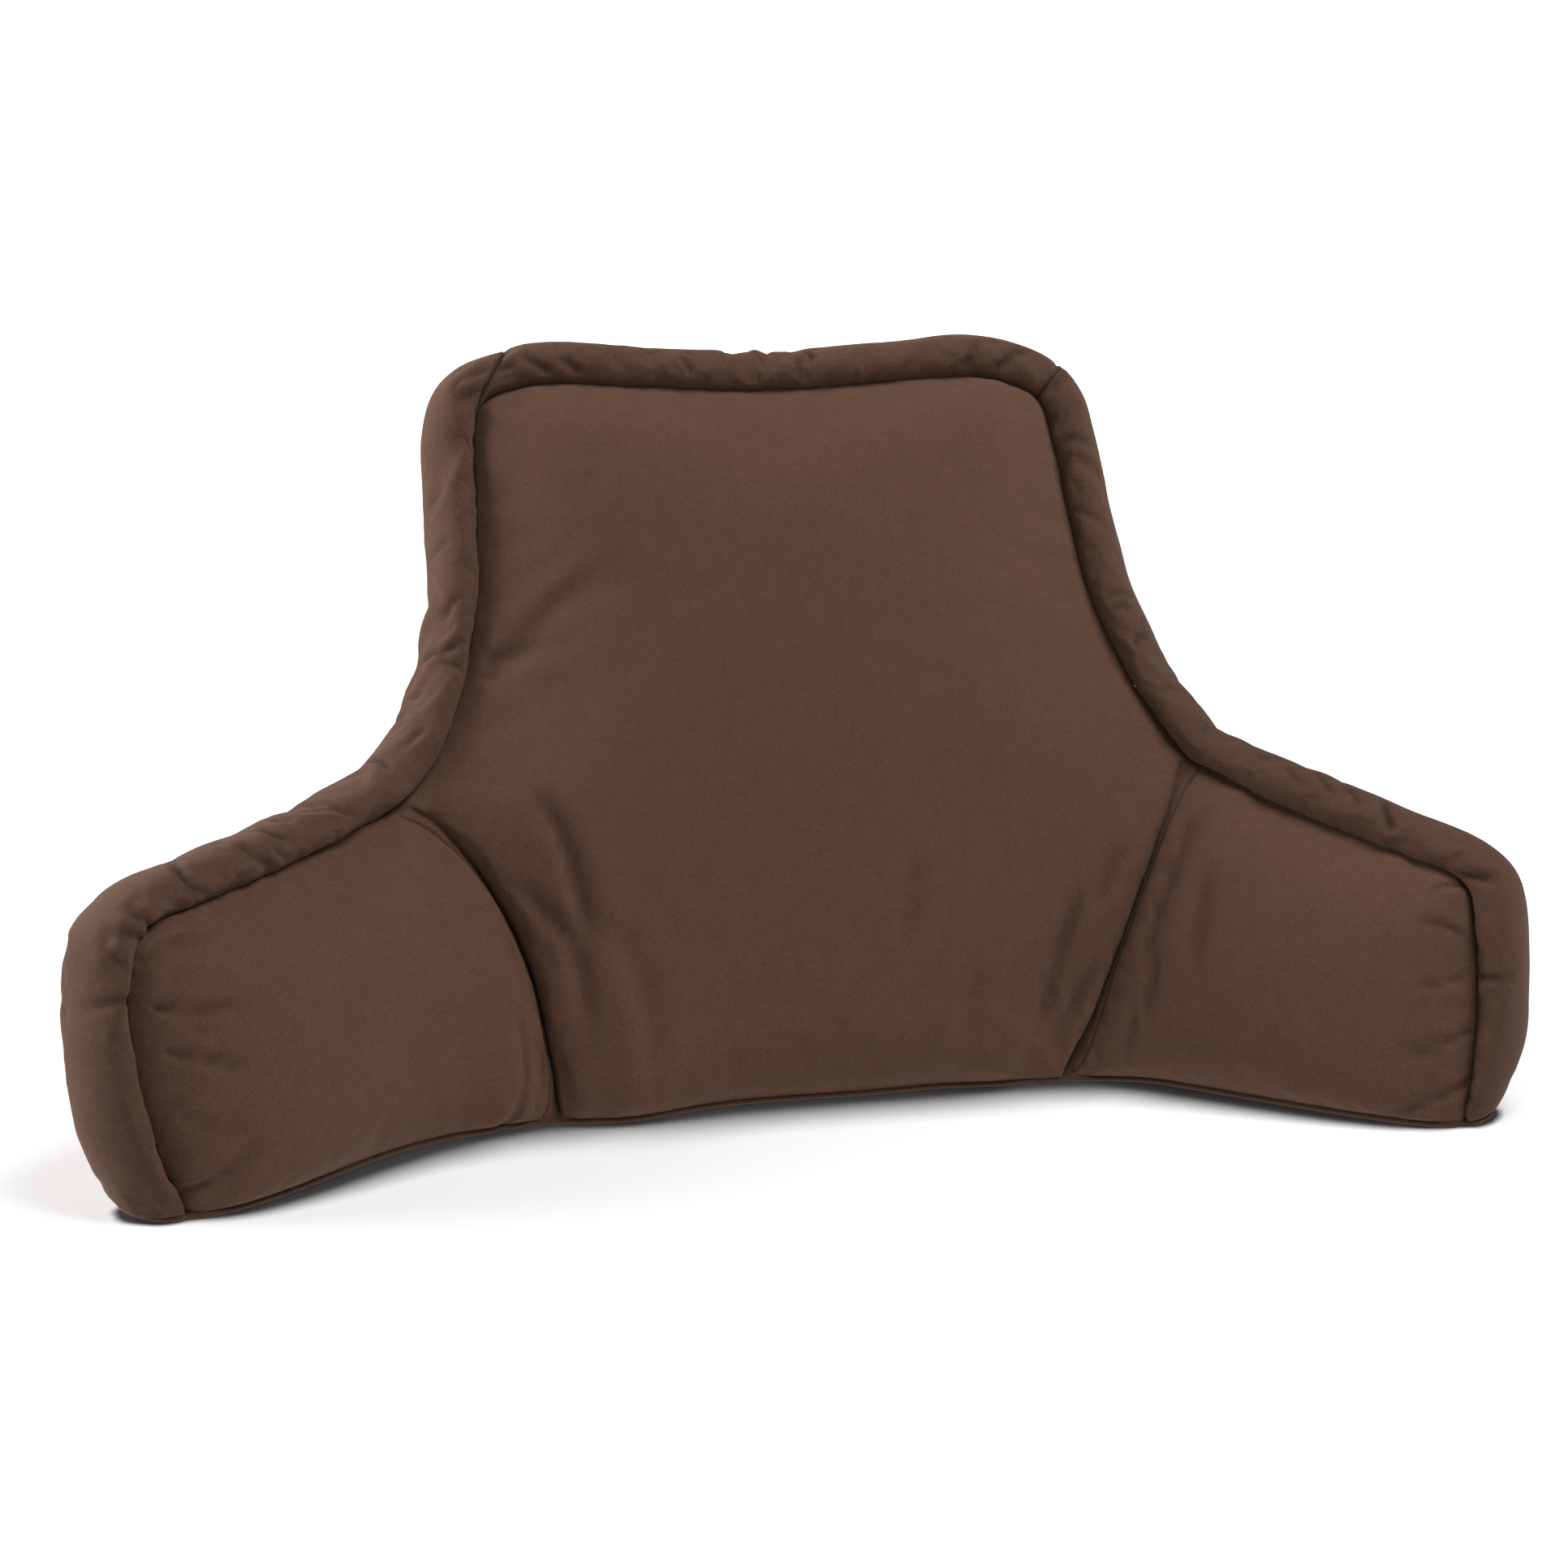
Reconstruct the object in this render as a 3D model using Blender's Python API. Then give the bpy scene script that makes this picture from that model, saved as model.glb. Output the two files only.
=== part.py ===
"""Ergonomic bed cushion: a tall backrest with two low arms, standing on its own base.

The cushion is one filled body with a crowned front and back, a padded border in three
strips round its sides and top, and a base panel under it. All of it is worked out on one
leaning surface, the seam surface, where the border is sewn to the front. A place on it is
given by how far across the cushion it is, along the bent plan line, and by its height.
Metres, +Z up, the front faces -Y, and the origin is the middle of the footprint.
"""

import math
from collections import namedtuple

import bpy
import numpy as np

# Plan line of the seam surface: a straight back, then a bend into each splayed arm.
STRAIGHT_HALF = 0.175
BEND_RADIUS = 0.13
ARM_SPLAY = math.radians(46)
LEAN = math.tan(math.radians(12))
LEVEL_RISE = 0.08

# Crown of the front and of the back.
FRONT_CROWN = 0.050
BACK_CROWN = 0.055
CROWN_REACH = 0.042
BASE_REACH = 0.035
FRONT_BASE_SHARE = 0.42
BACK_BASE_SHARE = 0.95

# Padded border: how round its section is, and how much it puckers.
BORDER_FULLNESS = 1.08
BORDER_STEPS = 9
PUFF_SHARE = 0.07

# Base panel.
BASE_THICKNESS = 0.003
GAP = 0.0003
SIDE_GAP = 0.0005

# Sewn channel where each arm panel meets the back panel.
CHANNEL_DEPTH = 0.011
CHANNEL_WIDTH = 0.008
CHANNEL_DIP = 0.006
CHANNEL_DIP_WIDTH = 0.030
CHANNEL_BASE_SHARE = 0.5

# Fineness of the mesh, and of the lines that distances are measured to.
ROWS = 14
OUTLINE_SAMPLES = 420
TIP_SAMPLES = 40
CHANNEL_SAMPLES = 24
NEAREST_EDGE = 0.002
EDGE_POWER = 4
SHORTEST_SIDE = 0.001
SHARP_ANGLE = math.radians(50)

PANEL_BROWN = (0.118, 0.062, 0.040)
BORDER_BROWN = (0.125, 0.066, 0.043)
BASE_BROWN = (0.098, 0.050, 0.032)
CLOTH_ROUGHNESS = 0.85

# One row for each section of the front, from the left arm's tip to the right arm's tip.
# A section climbs from the base to the border; bow is how far its middle swings across.
Section = namedtuple("Section", "base top height bow steps")
SECTIONS = (
    Section(-0.474, -0.478, 0.160, -0.012, 3),
    Section(-0.442, -0.452, 0.168, -0.008, 4),
    Section(-0.385, -0.398, 0.174, -0.002, 4),
    Section(-0.320, -0.338, 0.182, 0.006, 4),
    Section(-0.250, -0.285, 0.191, 0.014, 4),
    Section(-0.178, -0.249, 0.203, 0.022, 3),
    Section(-0.160, -0.225, 0.228, 0.020, 3),
    Section(-0.148, -0.208, 0.268, 0.013, 4),
    Section(-0.136, -0.197, 0.325, 0.004, 4),
    Section(-0.122, -0.193, 0.392, 0.000, 4),
    Section(-0.110, -0.192, 0.445, 0.000, 3),
    Section(-0.100, -0.184, 0.470, 0.000, 3),
    Section(-0.085, -0.152, 0.479, 0.000, 4),
    Section(-0.045, -0.080, 0.477, 0.000, 4),
    Section(0.000, 0.000, 0.475, 0.000, 4),
    Section(0.045, 0.080, 0.480, 0.000, 4),
    Section(0.085, 0.152, 0.484, 0.000, 3),
    Section(0.100, 0.185, 0.473, 0.000, 3),
    Section(0.110, 0.194, 0.438, 0.000, 4),
    Section(0.122, 0.200, 0.388, 0.000, 4),
    Section(0.136, 0.209, 0.335, 0.003, 4),
    Section(0.150, 0.226, 0.280, 0.007, 3),
    Section(0.168, 0.248, 0.238, 0.011, 3),
    Section(0.188, 0.266, 0.216, 0.013, 4),
    Section(0.250, 0.302, 0.200, 0.010, 4),
    Section(0.320, 0.346, 0.186, 0.006, 4),
    Section(0.385, 0.398, 0.172, 0.003, 4),
    Section(0.442, 0.444, 0.161, 0.003, 3),
    Section(0.476, 0.464, 0.152, 0.005, 0),
)
LEFT_SEAM, RIGHT_SEAM = 5, 23
LEFT_CORNER, RIGHT_CORNER = 11, 17

# Places of the extra columns on both sides of each channel.
BESIDE_CHANNELS = (LEFT_SEAM - 0.16, LEFT_SEAM + 0.26, RIGHT_SEAM - 0.26, RIGHT_SEAM + 0.16)

# Padding of the border along its way: place -1 is the left arm's foot, 0 to 28 are the
# sections above, and 29 is the right arm's foot. out is how far it stands out past its
# seams, and gap is how far behind the front seam the back one runs.
Padding = namedtuple("Padding", "place out gap")
PADDING = (
    Padding(-1.0, 0.021, 0.045),
    Padding(-0.7, 0.022, 0.044),
    Padding(-0.3, 0.018, 0.043),
    Padding(0.0, 0.016, 0.043),
    Padding(1.0, 0.025, 0.046),
    Padding(4.0, 0.027, 0.054),
    Padding(9.0, 0.028, 0.056),
    Padding(11.0, 0.032, 0.056),
    Padding(13.0, 0.031, 0.056),
    Padding(15.0, 0.030, 0.056),
    Padding(17.0, 0.036, 0.056),
    Padding(20.0, 0.034, 0.056),
    Padding(22.0, 0.027, 0.056),
    Padding(26.0, 0.029, 0.053),
    Padding(28.0, 0.023, 0.048),
    Padding(28.6, 0.026, 0.048),
    Padding(29.0, 0.010, 0.048),
)

# Soft folds of the front beside the sewn channels, and the push of the filling along its
# foot. A minus depth is a trough.
Fold = namedtuple("Fold", "across height to_across to_height width depth")
FOLDS = (
    Fold(-0.235, 0.000, -0.140, 0.000, 0.060, 0.026),
    Fold(-0.100, 0.000, 0.030, 0.000, 0.060, 0.009),
    Fold(0.140, 0.000, 0.210, 0.000, 0.040, 0.007),
    Fold(-0.175, 0.200, -0.135, 0.110, 0.016, -0.0040),
    Fold(-0.160, 0.130, -0.140, 0.030, 0.014, -0.0045),
    Fold(-0.118, 0.130, -0.108, 0.030, 0.015, -0.0035),
    Fold(-0.215, 0.110, -0.222, 0.012, 0.013, -0.0050),
    Fold(0.200, 0.130, 0.165, 0.040, 0.015, -0.0045),
    Fold(0.170, 0.090, 0.140, 0.012, 0.012, -0.0050),
    Fold(0.275, 0.165, 0.245, 0.040, 0.016, -0.0045),
    Fold(-0.485, 0.115, -0.430, 0.108, 0.010, -0.0040),
    Fold(-0.482, 0.080, -0.435, 0.070, 0.010, -0.0040),
    Fold(0.470, 0.060, 0.425, 0.048, 0.010, -0.0040),
    Fold(0.476, 0.030, 0.420, 0.012, 0.010, -0.0050),
)

# Puckers of the padded border: waves in each metre, and how strong each set is.
PUCKERS = ((21.0, 0.55, 0.4), (34.0, 0.35, 2.1), (57.0, 0.22, 5.0))


def plan(across):
    """Point of the plan line, and its outward normal, which points to the sitter."""
    side = math.copysign(1.0, across)
    run = abs(across)
    turn = min(max((run - STRAIGHT_HALF) / BEND_RADIUS, 0.0), ARM_SPLAY)
    arm = max(run - STRAIGHT_HALF - BEND_RADIUS * ARM_SPLAY, 0.0)
    x = min(run, STRAIGHT_HALF) + BEND_RADIUS * math.sin(turn) + arm * math.cos(turn)
    y = -BEND_RADIUS * (1.0 - math.cos(turn)) - arm * math.sin(turn)
    return np.array((side * x, y, 0.0)), np.array((-side * math.sin(turn), -math.cos(turn), 0.0))


def place(across, height, forward):
    """Point that lies this far in front of the seam surface, which leans back."""
    foot, normal = plan(across)
    level = min(height / LEVEL_RISE, 1.0)
    up = np.array((0.0, 0.0, height + forward * LEAN * level * level))
    return foot + normal * (forward - LEAN * height) + up


def smooth_between(rows, position):
    """Values at a place between two rows of a table, on a Catmull-Rom curve."""
    last = len(rows) - 1
    start = min(int(position), last - 1)
    part = position - start
    near = [np.array(rows[min(max(start + step, 0), last)], float) for step in (-1, 0, 1, 2)]
    before, here, there, after = near
    return 0.5 * (
        2 * here
        + (there - before) * part
        + (2 * before - 5 * here + 4 * there - after) * part**2
        + (3 * here - before - 3 * there + after) * part**3
    )


def on_panel(column, rise):
    """Place on the front, as (across, height), at a share of a section's climb."""
    section = Section(*smooth_between(SECTIONS, column))
    across = section.base + (section.top - section.base) * rise + section.bow * 4 * rise * (1 - rise)
    floor = BASE_THICKNESS + GAP
    return np.array((across, floor + (section.height - floor) * rise))


def column_places():
    """Where the mesh's columns stand between the sections, with more beside a channel."""
    places = list(BESIDE_CHANNELS)
    for index, section in enumerate(SECTIONS[:-1]):
        places += [index + step / section.steps for step in range(section.steps)]
    return sorted(places) + [len(SECTIONS) - 1.0]


def row_rises():
    """Shares of the climb at which the rows lie, closer together at both ends."""
    even = np.linspace(0.0, 1.0, ROWS + 1)
    return 0.5 * even + 0.25 * (1 - np.cos(math.pi * even))


def line_distance(point, line):
    """Distance from a point to a line of points, from its nearest stretch."""
    starts, spans = line[:-1], np.diff(line, axis=0)
    share = np.einsum("ij,ij->i", point - starts, spans) / np.einsum("ij,ij->i", spans, spans)
    nearest = starts + spans * np.clip(share, 0, 1)[:, None]
    return np.linalg.norm(point - nearest, axis=1).min()


def outline_points():
    """The border's seam line, from the foot of the left arm's tip to the right one's."""
    last = len(SECTIONS) - 1
    climb = np.linspace(0, 1, TIP_SAMPLES)
    left = [on_panel(0, rise) for rise in climb[:-1]]
    over = [on_panel(place_, 1.0) for place_ in np.linspace(0, last, OUTLINE_SAMPLES)]
    right = [on_panel(last, rise) for rise in climb[::-1][1:]]
    return np.array(left + over + right)


def padding_at(place_):
    """How far the border stands out, and the gap between its seams."""
    table = np.array(PADDING)
    return tuple(np.interp(place_, table[:, 0], table[:, column]) for column in (1, 2))


def edge_distance(point, outline):
    """Distance to the border, rounded off where two edges are equally near."""
    middles = (outline[1:] + outline[:-1]) / 2
    lengths = np.linalg.norm(np.diff(outline, axis=0), axis=1)
    reach = np.linalg.norm(middles - point, axis=1)
    pull = (lengths / (math.pi / 2 * np.maximum(reach, NEAREST_EDGE) ** EDGE_POWER)).sum()
    return pull ** (1 / (1 - EDGE_POWER))


def fold_relief(point):
    """Height of the folds at a place on the front."""
    relief = 0.0
    for fold in FOLDS:
        line = np.array(((fold.across, fold.height), (fold.to_across, fold.to_height)))
        relief += fold.depth * math.exp(-((line_distance(point, line) / fold.width) ** 2))
    return relief


def channel_relief(point, channels):
    """How far the sewn channels draw the front in: a narrow groove in a wide dip."""
    near = min(line_distance(point, line) for line in channels)
    groove = CHANNEL_DEPTH * math.exp(-((near / CHANNEL_WIDTH) ** 2))
    dip = CHANNEL_DIP * math.exp(-((near / CHANNEL_DIP_WIDTH) ** 2))
    settle = math.exp(-point[1] / BASE_REACH)
    return -(groove + dip) * (1 - (1 - CHANNEL_BASE_SHARE) * settle)


def body_skins():
    """Rows of points of the front and of the back, each a list of columns."""
    outline = outline_points()
    channels = [
        np.array([on_panel(seam, rise) for rise in np.linspace(0, 1, CHANNEL_SAMPLES)])
        for seam in (LEFT_SEAM, RIGHT_SEAM)
    ]
    places, rises = column_places(), row_rises()
    front, back = [], []
    for column in places:
        at_tip = column in (places[0], places[-1])
        gap = padding_at(column)[1]
        front.append([])
        back.append([])
        for rise in rises:
            point = on_panel(column, rise)
            sewn = at_tip or rise == 1.0
            fill = 0.0 if sewn else 1 - math.exp(-edge_distance(point, outline) / CROWN_REACH)
            settle = math.exp(-point[1] / BASE_REACH)
            relief = fill * (fold_relief(point) + channel_relief(point, channels))
            forward = fill * FRONT_CROWN * (1 - (1 - FRONT_BASE_SHARE) * settle) + relief
            behind = fill * BACK_CROWN * (1 - (1 - BACK_BASE_SHARE) * settle) + gap
            front[-1].append(place(*point, max(forward, 0.0)))
            back[-1].append(place(*point, -behind))
    return front, back


def cloth_material(name, colour):
    """Matt cloth of this colour."""
    cloth = bpy.data.materials.new(name + "_cloth")
    cloth.use_nodes = True
    shader = cloth.node_tree.nodes["Principled BSDF"]
    shader.inputs["Base Color"].default_value = (*colour, 1.0)
    shader.inputs["Roughness"].default_value = CLOTH_ROUGHNESS
    shader.inputs["Metallic"].default_value = 0.0
    return cloth


def mesh_object(name, points, faces, colour, collection):
    """A named object with its own cloth material."""
    mesh = bpy.data.meshes.new(name)
    mesh.from_pydata([tuple(point) for point in points], [], faces)
    mesh.shade_smooth()
    mesh.set_sharp_from_angle(angle=SHARP_ANGLE)
    mesh.materials.append(cloth_material(name, colour))
    made = bpy.data.objects.new(name, mesh)
    collection.objects.link(made)
    return made


def make_body(front, back, collection):
    """The filled body: front and back skins, joined at the sides, the top and below."""
    columns, rows = len(front), len(front[0])
    points = [point for column in front + back for point in column]

    def at(skin, column, row):
        return (skin * columns + column) * rows + row

    faces = []
    for column in range(columns - 1):
        for row in range(rows - 1):
            corners = ((column, row), (column + 1, row), (column + 1, row + 1), (column, row + 1))
            faces.append([at(0, *corner) for corner in corners])
            faces.append([at(1, *corner) for corner in reversed(corners)])
    rim = [(column, 0) for column in range(columns)]
    rim += [(columns - 1, row) for row in range(1, rows)]
    rim += [(column, rows - 1) for column in reversed(range(columns - 1))]
    rim += [(0, row) for row in reversed(range(rows - 1))]
    for here, there in zip(rim[:-1], rim[1:]):
        faces.append([at(0, *there), at(0, *here), at(1, *there)])
        faces.append([at(0, *here), at(1, *here), at(1, *there)])
    return mesh_object("cushion_body", points, faces, PANEL_BROWN, collection)


def puff(along):
    """Share by which the border swells or shrinks at a place along it."""
    waves = [size * math.sin(2 * math.pi * rate * along + shift) for rate, size, shift in PUCKERS]
    return 1.0 + PUFF_SHARE * sum(waves)


def border_sections(front, back):
    """A ring of points for each station of the border, along the body's sewn edge."""
    fronts = front[0][:-1] + [column[-1] for column in front] + front[-1][-2::-1]
    backs = back[0][:-1] + [column[-1] for column in back] + back[-1][-2::-1]
    fronts, backs = np.array(fronts), np.array(backs)
    middles = (fronts + backs) / 2
    travel = np.linalg.norm(np.diff(middles, axis=0, prepend=middles[:1]), axis=1).cumsum()
    start = math.asin(-math.sqrt(1 - 1 / BORDER_FULLNESS**2))
    turns = np.linspace(start, math.pi - start, BORDER_STEPS + 1)
    rises = list(row_rises())
    way = [rise - 1 for rise in rises[:-1]] + column_places()
    way += [way[-1] + 1 - rise for rise in reversed(rises[:-1])]
    rings = []
    for index, middle in enumerate(middles):
        step = middles[min(index + 1, len(middles) - 1)] - middles[max(index - 1, 0)]
        across = (fronts[index] - backs[index]) / 2
        outward = np.cross(across, step)
        outward /= np.linalg.norm(outward)
        bulge = padding_at(way[index])[0] * puff(travel[index])
        round_half = bulge / (1 - math.sin(start))
        ring = []
        for turn in turns:
            out = round_half * (math.sin(turn) - math.sin(start)) + SIDE_GAP
            ring.append(middle + across * BORDER_FULLNESS * math.cos(turn) + outward * out)
        rings.append(np.array(ring))
    return rings


def level_foot(ring):
    """The ring with all its points just above the base panel, for a flat foot."""
    flat = ring.copy()
    flat[:, 2] = BASE_THICKNESS + GAP
    return flat


def make_border(name, rings, colour, collection):
    """A padded strip: its rings joined along the way, and closed at both ends."""
    size = len(rings[0])
    points = [point for ring in rings for point in ring]
    faces = []
    for index in range(len(rings) - 1):
        here, there = index * size, (index + 1) * size
        for turn in range(size - 1):
            faces.append([here + turn, there + turn, there + turn + 1, here + turn + 1])
        faces.append([here + size - 1, there + size - 1, there])
        faces.append([here + size - 1, there, here])
    faces.append([turn for turn in range(size)])
    faces.append([(len(rings) - 1) * size + turn for turn in reversed(range(size))])
    return mesh_object(name, points, faces, colour, collection)


def set_apart(rings, cut):
    """Two runs of rings, which end and start a gap away from the cut ring."""

    def beside(ring, other):
        way = other.mean(axis=0) - ring.mean(axis=0)
        return ring + way / np.linalg.norm(way) * GAP

    before = rings[:cut] + [beside(rings[cut], rings[cut - 1])]
    after = [beside(rings[cut], rings[cut + 1])] + rings[cut + 1:]
    return before, after


def make_base(front, back, rings, collection):
    """The base panel: a flat cut that covers the body's underside and the border's feet."""
    outline = [column[0] for column in front]
    outline += list(rings[-1])
    outline += [column[0] for column in reversed(back)]
    outline += list(rings[0][::-1])
    kept = [outline[0]]
    for point in outline[1:]:
        if np.linalg.norm(point - kept[-1]) > SHORTEST_SIDE:
            kept.append(point)
    curve = bpy.data.curves.new("base_panel", "CURVE")
    curve.dimensions = "2D"
    curve.fill_mode = "BOTH"
    curve.extrude = BASE_THICKNESS / 2
    spline = curve.splines.new("POLY")
    spline.points.add(len(kept) - 1)
    for made, point in zip(spline.points, kept):
        made.co = (point[0], point[1], 0.0, 1.0)
    spline.use_cyclic_u = True
    curve.materials.append(cloth_material("base_panel", BASE_BROWN))
    base = bpy.data.objects.new("base_panel", curve)
    base.location.z = BASE_THICKNESS / 2
    collection.objects.link(base)
    return base


def centre_footprint(padded, parts):
    """Moves every part so that the origin is the middle of the footprint."""
    corners = np.array([vertex.co for part in padded for vertex in part.data.vertices])
    middle = (corners.min(axis=0) + corners.max(axis=0)) / 2
    for part in parts:
        part.location.x -= middle[0]
        part.location.y -= middle[1]


def main():
    for old in list(bpy.data.objects):
        bpy.data.objects.remove(old)
    collection = bpy.data.collections.new("ergonomic_cushion")
    bpy.context.scene.collection.children.link(collection)
    front, back = body_skins()
    rings = border_sections(front, back)
    rings[0], rings[-1] = level_foot(rings[0]), level_foot(rings[-1])
    places = column_places()
    left_cut = len(row_rises()) - 1 + places.index(LEFT_CORNER)
    right_cut = len(row_rises()) - 1 + places.index(RIGHT_CORNER)
    left, rest = set_apart(rings, left_cut)
    top, right = set_apart(rest, right_cut - left_cut)
    padded = [make_body(front, back, collection)]
    for name, strip in (("border_left", left), ("border_top", top), ("border_right", right)):
        padded.append(make_border(name, strip, BORDER_BROWN, collection))
    base = make_base(front, back, rings, collection)
    centre_footprint(padded, padded + [base])


main()
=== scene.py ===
"""Looks of the ergonomic bed cushion: brushed brown cloth over a soft filling.

Every piece is made on the seam surface, where the border is sewn to the front. A place on it
is how far across the cushion it is, along the bent plan line, and its height. The panels are
cut flat there, raised to their crown, folds and sewn seams, and then settled as cloth.
"""

import math
from collections import namedtuple

import bmesh
import bpy
import numpy as np
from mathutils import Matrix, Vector, geometry, noise


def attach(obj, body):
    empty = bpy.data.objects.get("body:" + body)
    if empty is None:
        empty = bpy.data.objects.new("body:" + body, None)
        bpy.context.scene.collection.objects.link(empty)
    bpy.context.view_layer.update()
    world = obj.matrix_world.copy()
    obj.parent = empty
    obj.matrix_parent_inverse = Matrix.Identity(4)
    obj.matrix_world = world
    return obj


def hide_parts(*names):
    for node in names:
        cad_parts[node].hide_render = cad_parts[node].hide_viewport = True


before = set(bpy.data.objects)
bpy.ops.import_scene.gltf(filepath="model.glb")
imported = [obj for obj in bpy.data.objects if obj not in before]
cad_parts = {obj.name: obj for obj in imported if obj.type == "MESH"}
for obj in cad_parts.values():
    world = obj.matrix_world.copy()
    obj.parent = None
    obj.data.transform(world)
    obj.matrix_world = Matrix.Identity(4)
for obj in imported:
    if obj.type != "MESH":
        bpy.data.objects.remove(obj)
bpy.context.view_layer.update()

# Plan line of the seam surface, as in the solids: a straight back and two splayed arms.
STRAIGHT_HALF = 0.175
BEND_RADIUS = 0.13
ARM_SPLAY = math.radians(46)
LEAN = math.tan(math.radians(12))
LEVEL_RISE = 0.08
FOOTPRINT_SHIFT = np.array((0.0024, 0.0014, 0.0))

# Crown of the front and of the back, as in the solids.
FRONT_CROWN = 0.050
BACK_CROWN = 0.055
CROWN_REACH = 0.042
BASE_REACH = 0.035
FRONT_BASE_SHARE = 0.42
BACK_BASE_SHARE = 0.95
EDGE_POWER = 4
NEAREST_EDGE = 0.002

# The base panel and the foot of the filled pieces just above it.
FOOT = 0.0033

# How the cloth turns into a seam: it sinks in, and swells into a roll beside it.
SEAM_SINK = 0.0048
SEAM_SINK_REACH = 0.0026
EDGE_ROLL = 0.0050
EDGE_ROLL_REACH = 0.006
EDGE_ROLL_FADE = 0.035
EDGE_WAVE = 0.0016
EDGE_WAVE_FADE = 0.014
EDGE_WAVE_HELD = 0.004
FOOT_ROLL = 0.0095
FOOT_ROLL_REACH = 0.016
FOOT_ROLL_FADE = 0.040
FOOT_ROLL_START = 0.02

# Each arm seam: the fold of the middle panel that hangs over it, the valley under that fold,
# the fine sewn line on the valley's far side, and the arm's slope down to it.
CREASE_DEPTH = 0.0150
CREASE_ROLL_REACH = 0.006
CREASE_ROLL = 0.0022
CREASE_START = 0.22
CREASE_START_REACH = 0.055
CREASE_SLOPE = 0.28
CREASE_SLOPE_REACH = 0.014
CREASE_DIP = 0.0085
CREASE_DIP_REACH = 0.032
CREASE_FILL = 1.8
CREASE_FOOT = 0.05
CREASE_FOOT_REACH = 0.020
STITCH_DEPTH = 0.0036
STITCH_WIDTH = 0.0009
# Painted shade of each arm seam: how dark the fine sewn line, the fold's edge and the valley between them
# are painted, and how narrow. Then the dark colour that all painted shade mixes in.
STITCH_SHADE = 0.75
EDGE_SHADE = 0.80
VALLEY_SHADE = 0.60
SHADE_WIDTH = 0.0007
SHADE_EDGE = 0.0004
PAINTED_SHADE_COLOUR = (0.010, 0.005, 0.003)
# Painted shade at the bottom of the folds of the front and of the border: how dark at most, and from how
# deep on.
PANEL_FOLD_SHADE = (0.30, 0.0035)
BORDER_FOLD_SHADE = (0.72, 0.0032)
FOLD_HELD_REACH = 0.003
FOLD_FOOT_REACH = 0.012
SHOULDER = 0.35
SHOULDER_WIDTH = 2.3

# Fineness: steps along the seams, rows beside them, and the grids of the two skins.
SEAM_STEP = 0.0030
ROW_STEPS = (0.0010, 0.0022, 0.0040, 0.0066, 0.0100)
BACK_ROW_STEPS = (0.0015, 0.0040, 0.0085)
FRONT_GRID = 0.0056
BACK_GRID = 0.0095
SHORTEST_SIDE = 0.0008
SEAM_CLEAR = 0.004
PART_SIZE = 3000
ROUND_CORNER = 0.007
CORNER_REACH = 0.020

# Studio light: strength of the sky at the floor line and from how high up there is none.
SKY_LOW = 0.78
SKY_REACH = 0.45
STAGE_RADIUS = 6.0
STAGE_PALE = 0.93
WALL_GLOW = 1.0
FLOOR_GLOW = 0.30
# Painted contact shadow on the floor: how far round the cushion it reaches, at the middle and at the tips.
CONTACT_REACH = 0.065
CONTACT_REACH_TIPS = 0.008
FLOOR_GLOW_NEAR = 0.5
FLOOR_GLOW_FAR = 2.0

# The cloth's colour: what its grain, its nap and its broad clouding bring to it.
GRAIN_SHARE = 0.75
NAP_SHARE = 0.20
CLOUD_SHARE = 0.15
GRAIN_HEIGHT = 0.7

# Padded border.
BORDER_FULLNESS = 1.28
BORDER_TURNS = 41
BORDER_FAN = 0.013
BORDER_SEAM_SHARE = 0.55
BORDER_FOOT_RISE = 0.050
BORDER_FOOT_SHARE = 0.75
BORDER_FOOT_TUCK = 0.016
BULGE_SPREAD = 5.0
WALL_SHARES = (0.33, 0.67)
GAP_BLEND = 0.02
SIDE_GAP = 0.0002
MITRE_SINK = 0.0005
MITRE_GAP = 0.0001
MITRE_SLIDE_REACH = 0.045
# Painted shade along each mitre seam, at most this dark.
MITRE_SHADE = 0.75
MITRE_ROWS = (0.18, 0.45)
MITRE_REACH = 0.0016
HELD_REACH = 0.0035
UNEVEN_FILLING = 0.0022
PUCKER_SHARE = 0.85
PUCKER_SPREAD = 5.0
PUCKER_SPACING = (0.012, 0.030)

# One row for each section of the front, from the left arm's tip to the right arm's tip.
# A section climbs from the base to the border; bow is how far its middle swings across. All
# are in millimetres.
Section = namedtuple("Section", "base top height bow")
SECTIONS = (
    Section(-474, -478, 160, -12),
    Section(-442, -452, 168, -8),
    Section(-385, -398, 174, -2),
    Section(-320, -338, 182, 6),
    Section(-250, -285, 191, 14),
    Section(-178, -249, 203, 22),
    Section(-160, -225, 228, 20),
    Section(-148, -208, 268, 13),
    Section(-136, -197, 325, 4),
    Section(-122, -193, 392, 0),
    Section(-110, -192, 445, 0),
    Section(-100, -184, 470, 0),
    Section(-85, -152, 479, 0),
    Section(-45, -80, 477, 0),
    Section(0, 0, 475, 0),
    Section(45, 80, 480, 0),
    Section(85, 152, 484, 0),
    Section(100, 185, 473, 0),
    Section(110, 194, 438, 0),
    Section(122, 200, 388, 0),
    Section(136, 209, 335, 3),
    Section(150, 226, 280, 7),
    Section(168, 248, 238, 11),
    Section(188, 266, 216, 13),
    Section(250, 302, 200, 10),
    Section(320, 346, 186, 6),
    Section(385, 398, 172, 3),
    Section(442, 444, 161, 3),
    Section(476, 464, 152, 5),
)
LEFT_CORNER, RIGHT_CORNER = 11, 17

# How far along the border each mitre seam lies from its corner: at the front seam, outside.
LEFT_MITRE_SLIDE = (-0.015, 0.012)
RIGHT_MITRE_SLIDE = (0.005, 0.004)

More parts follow.
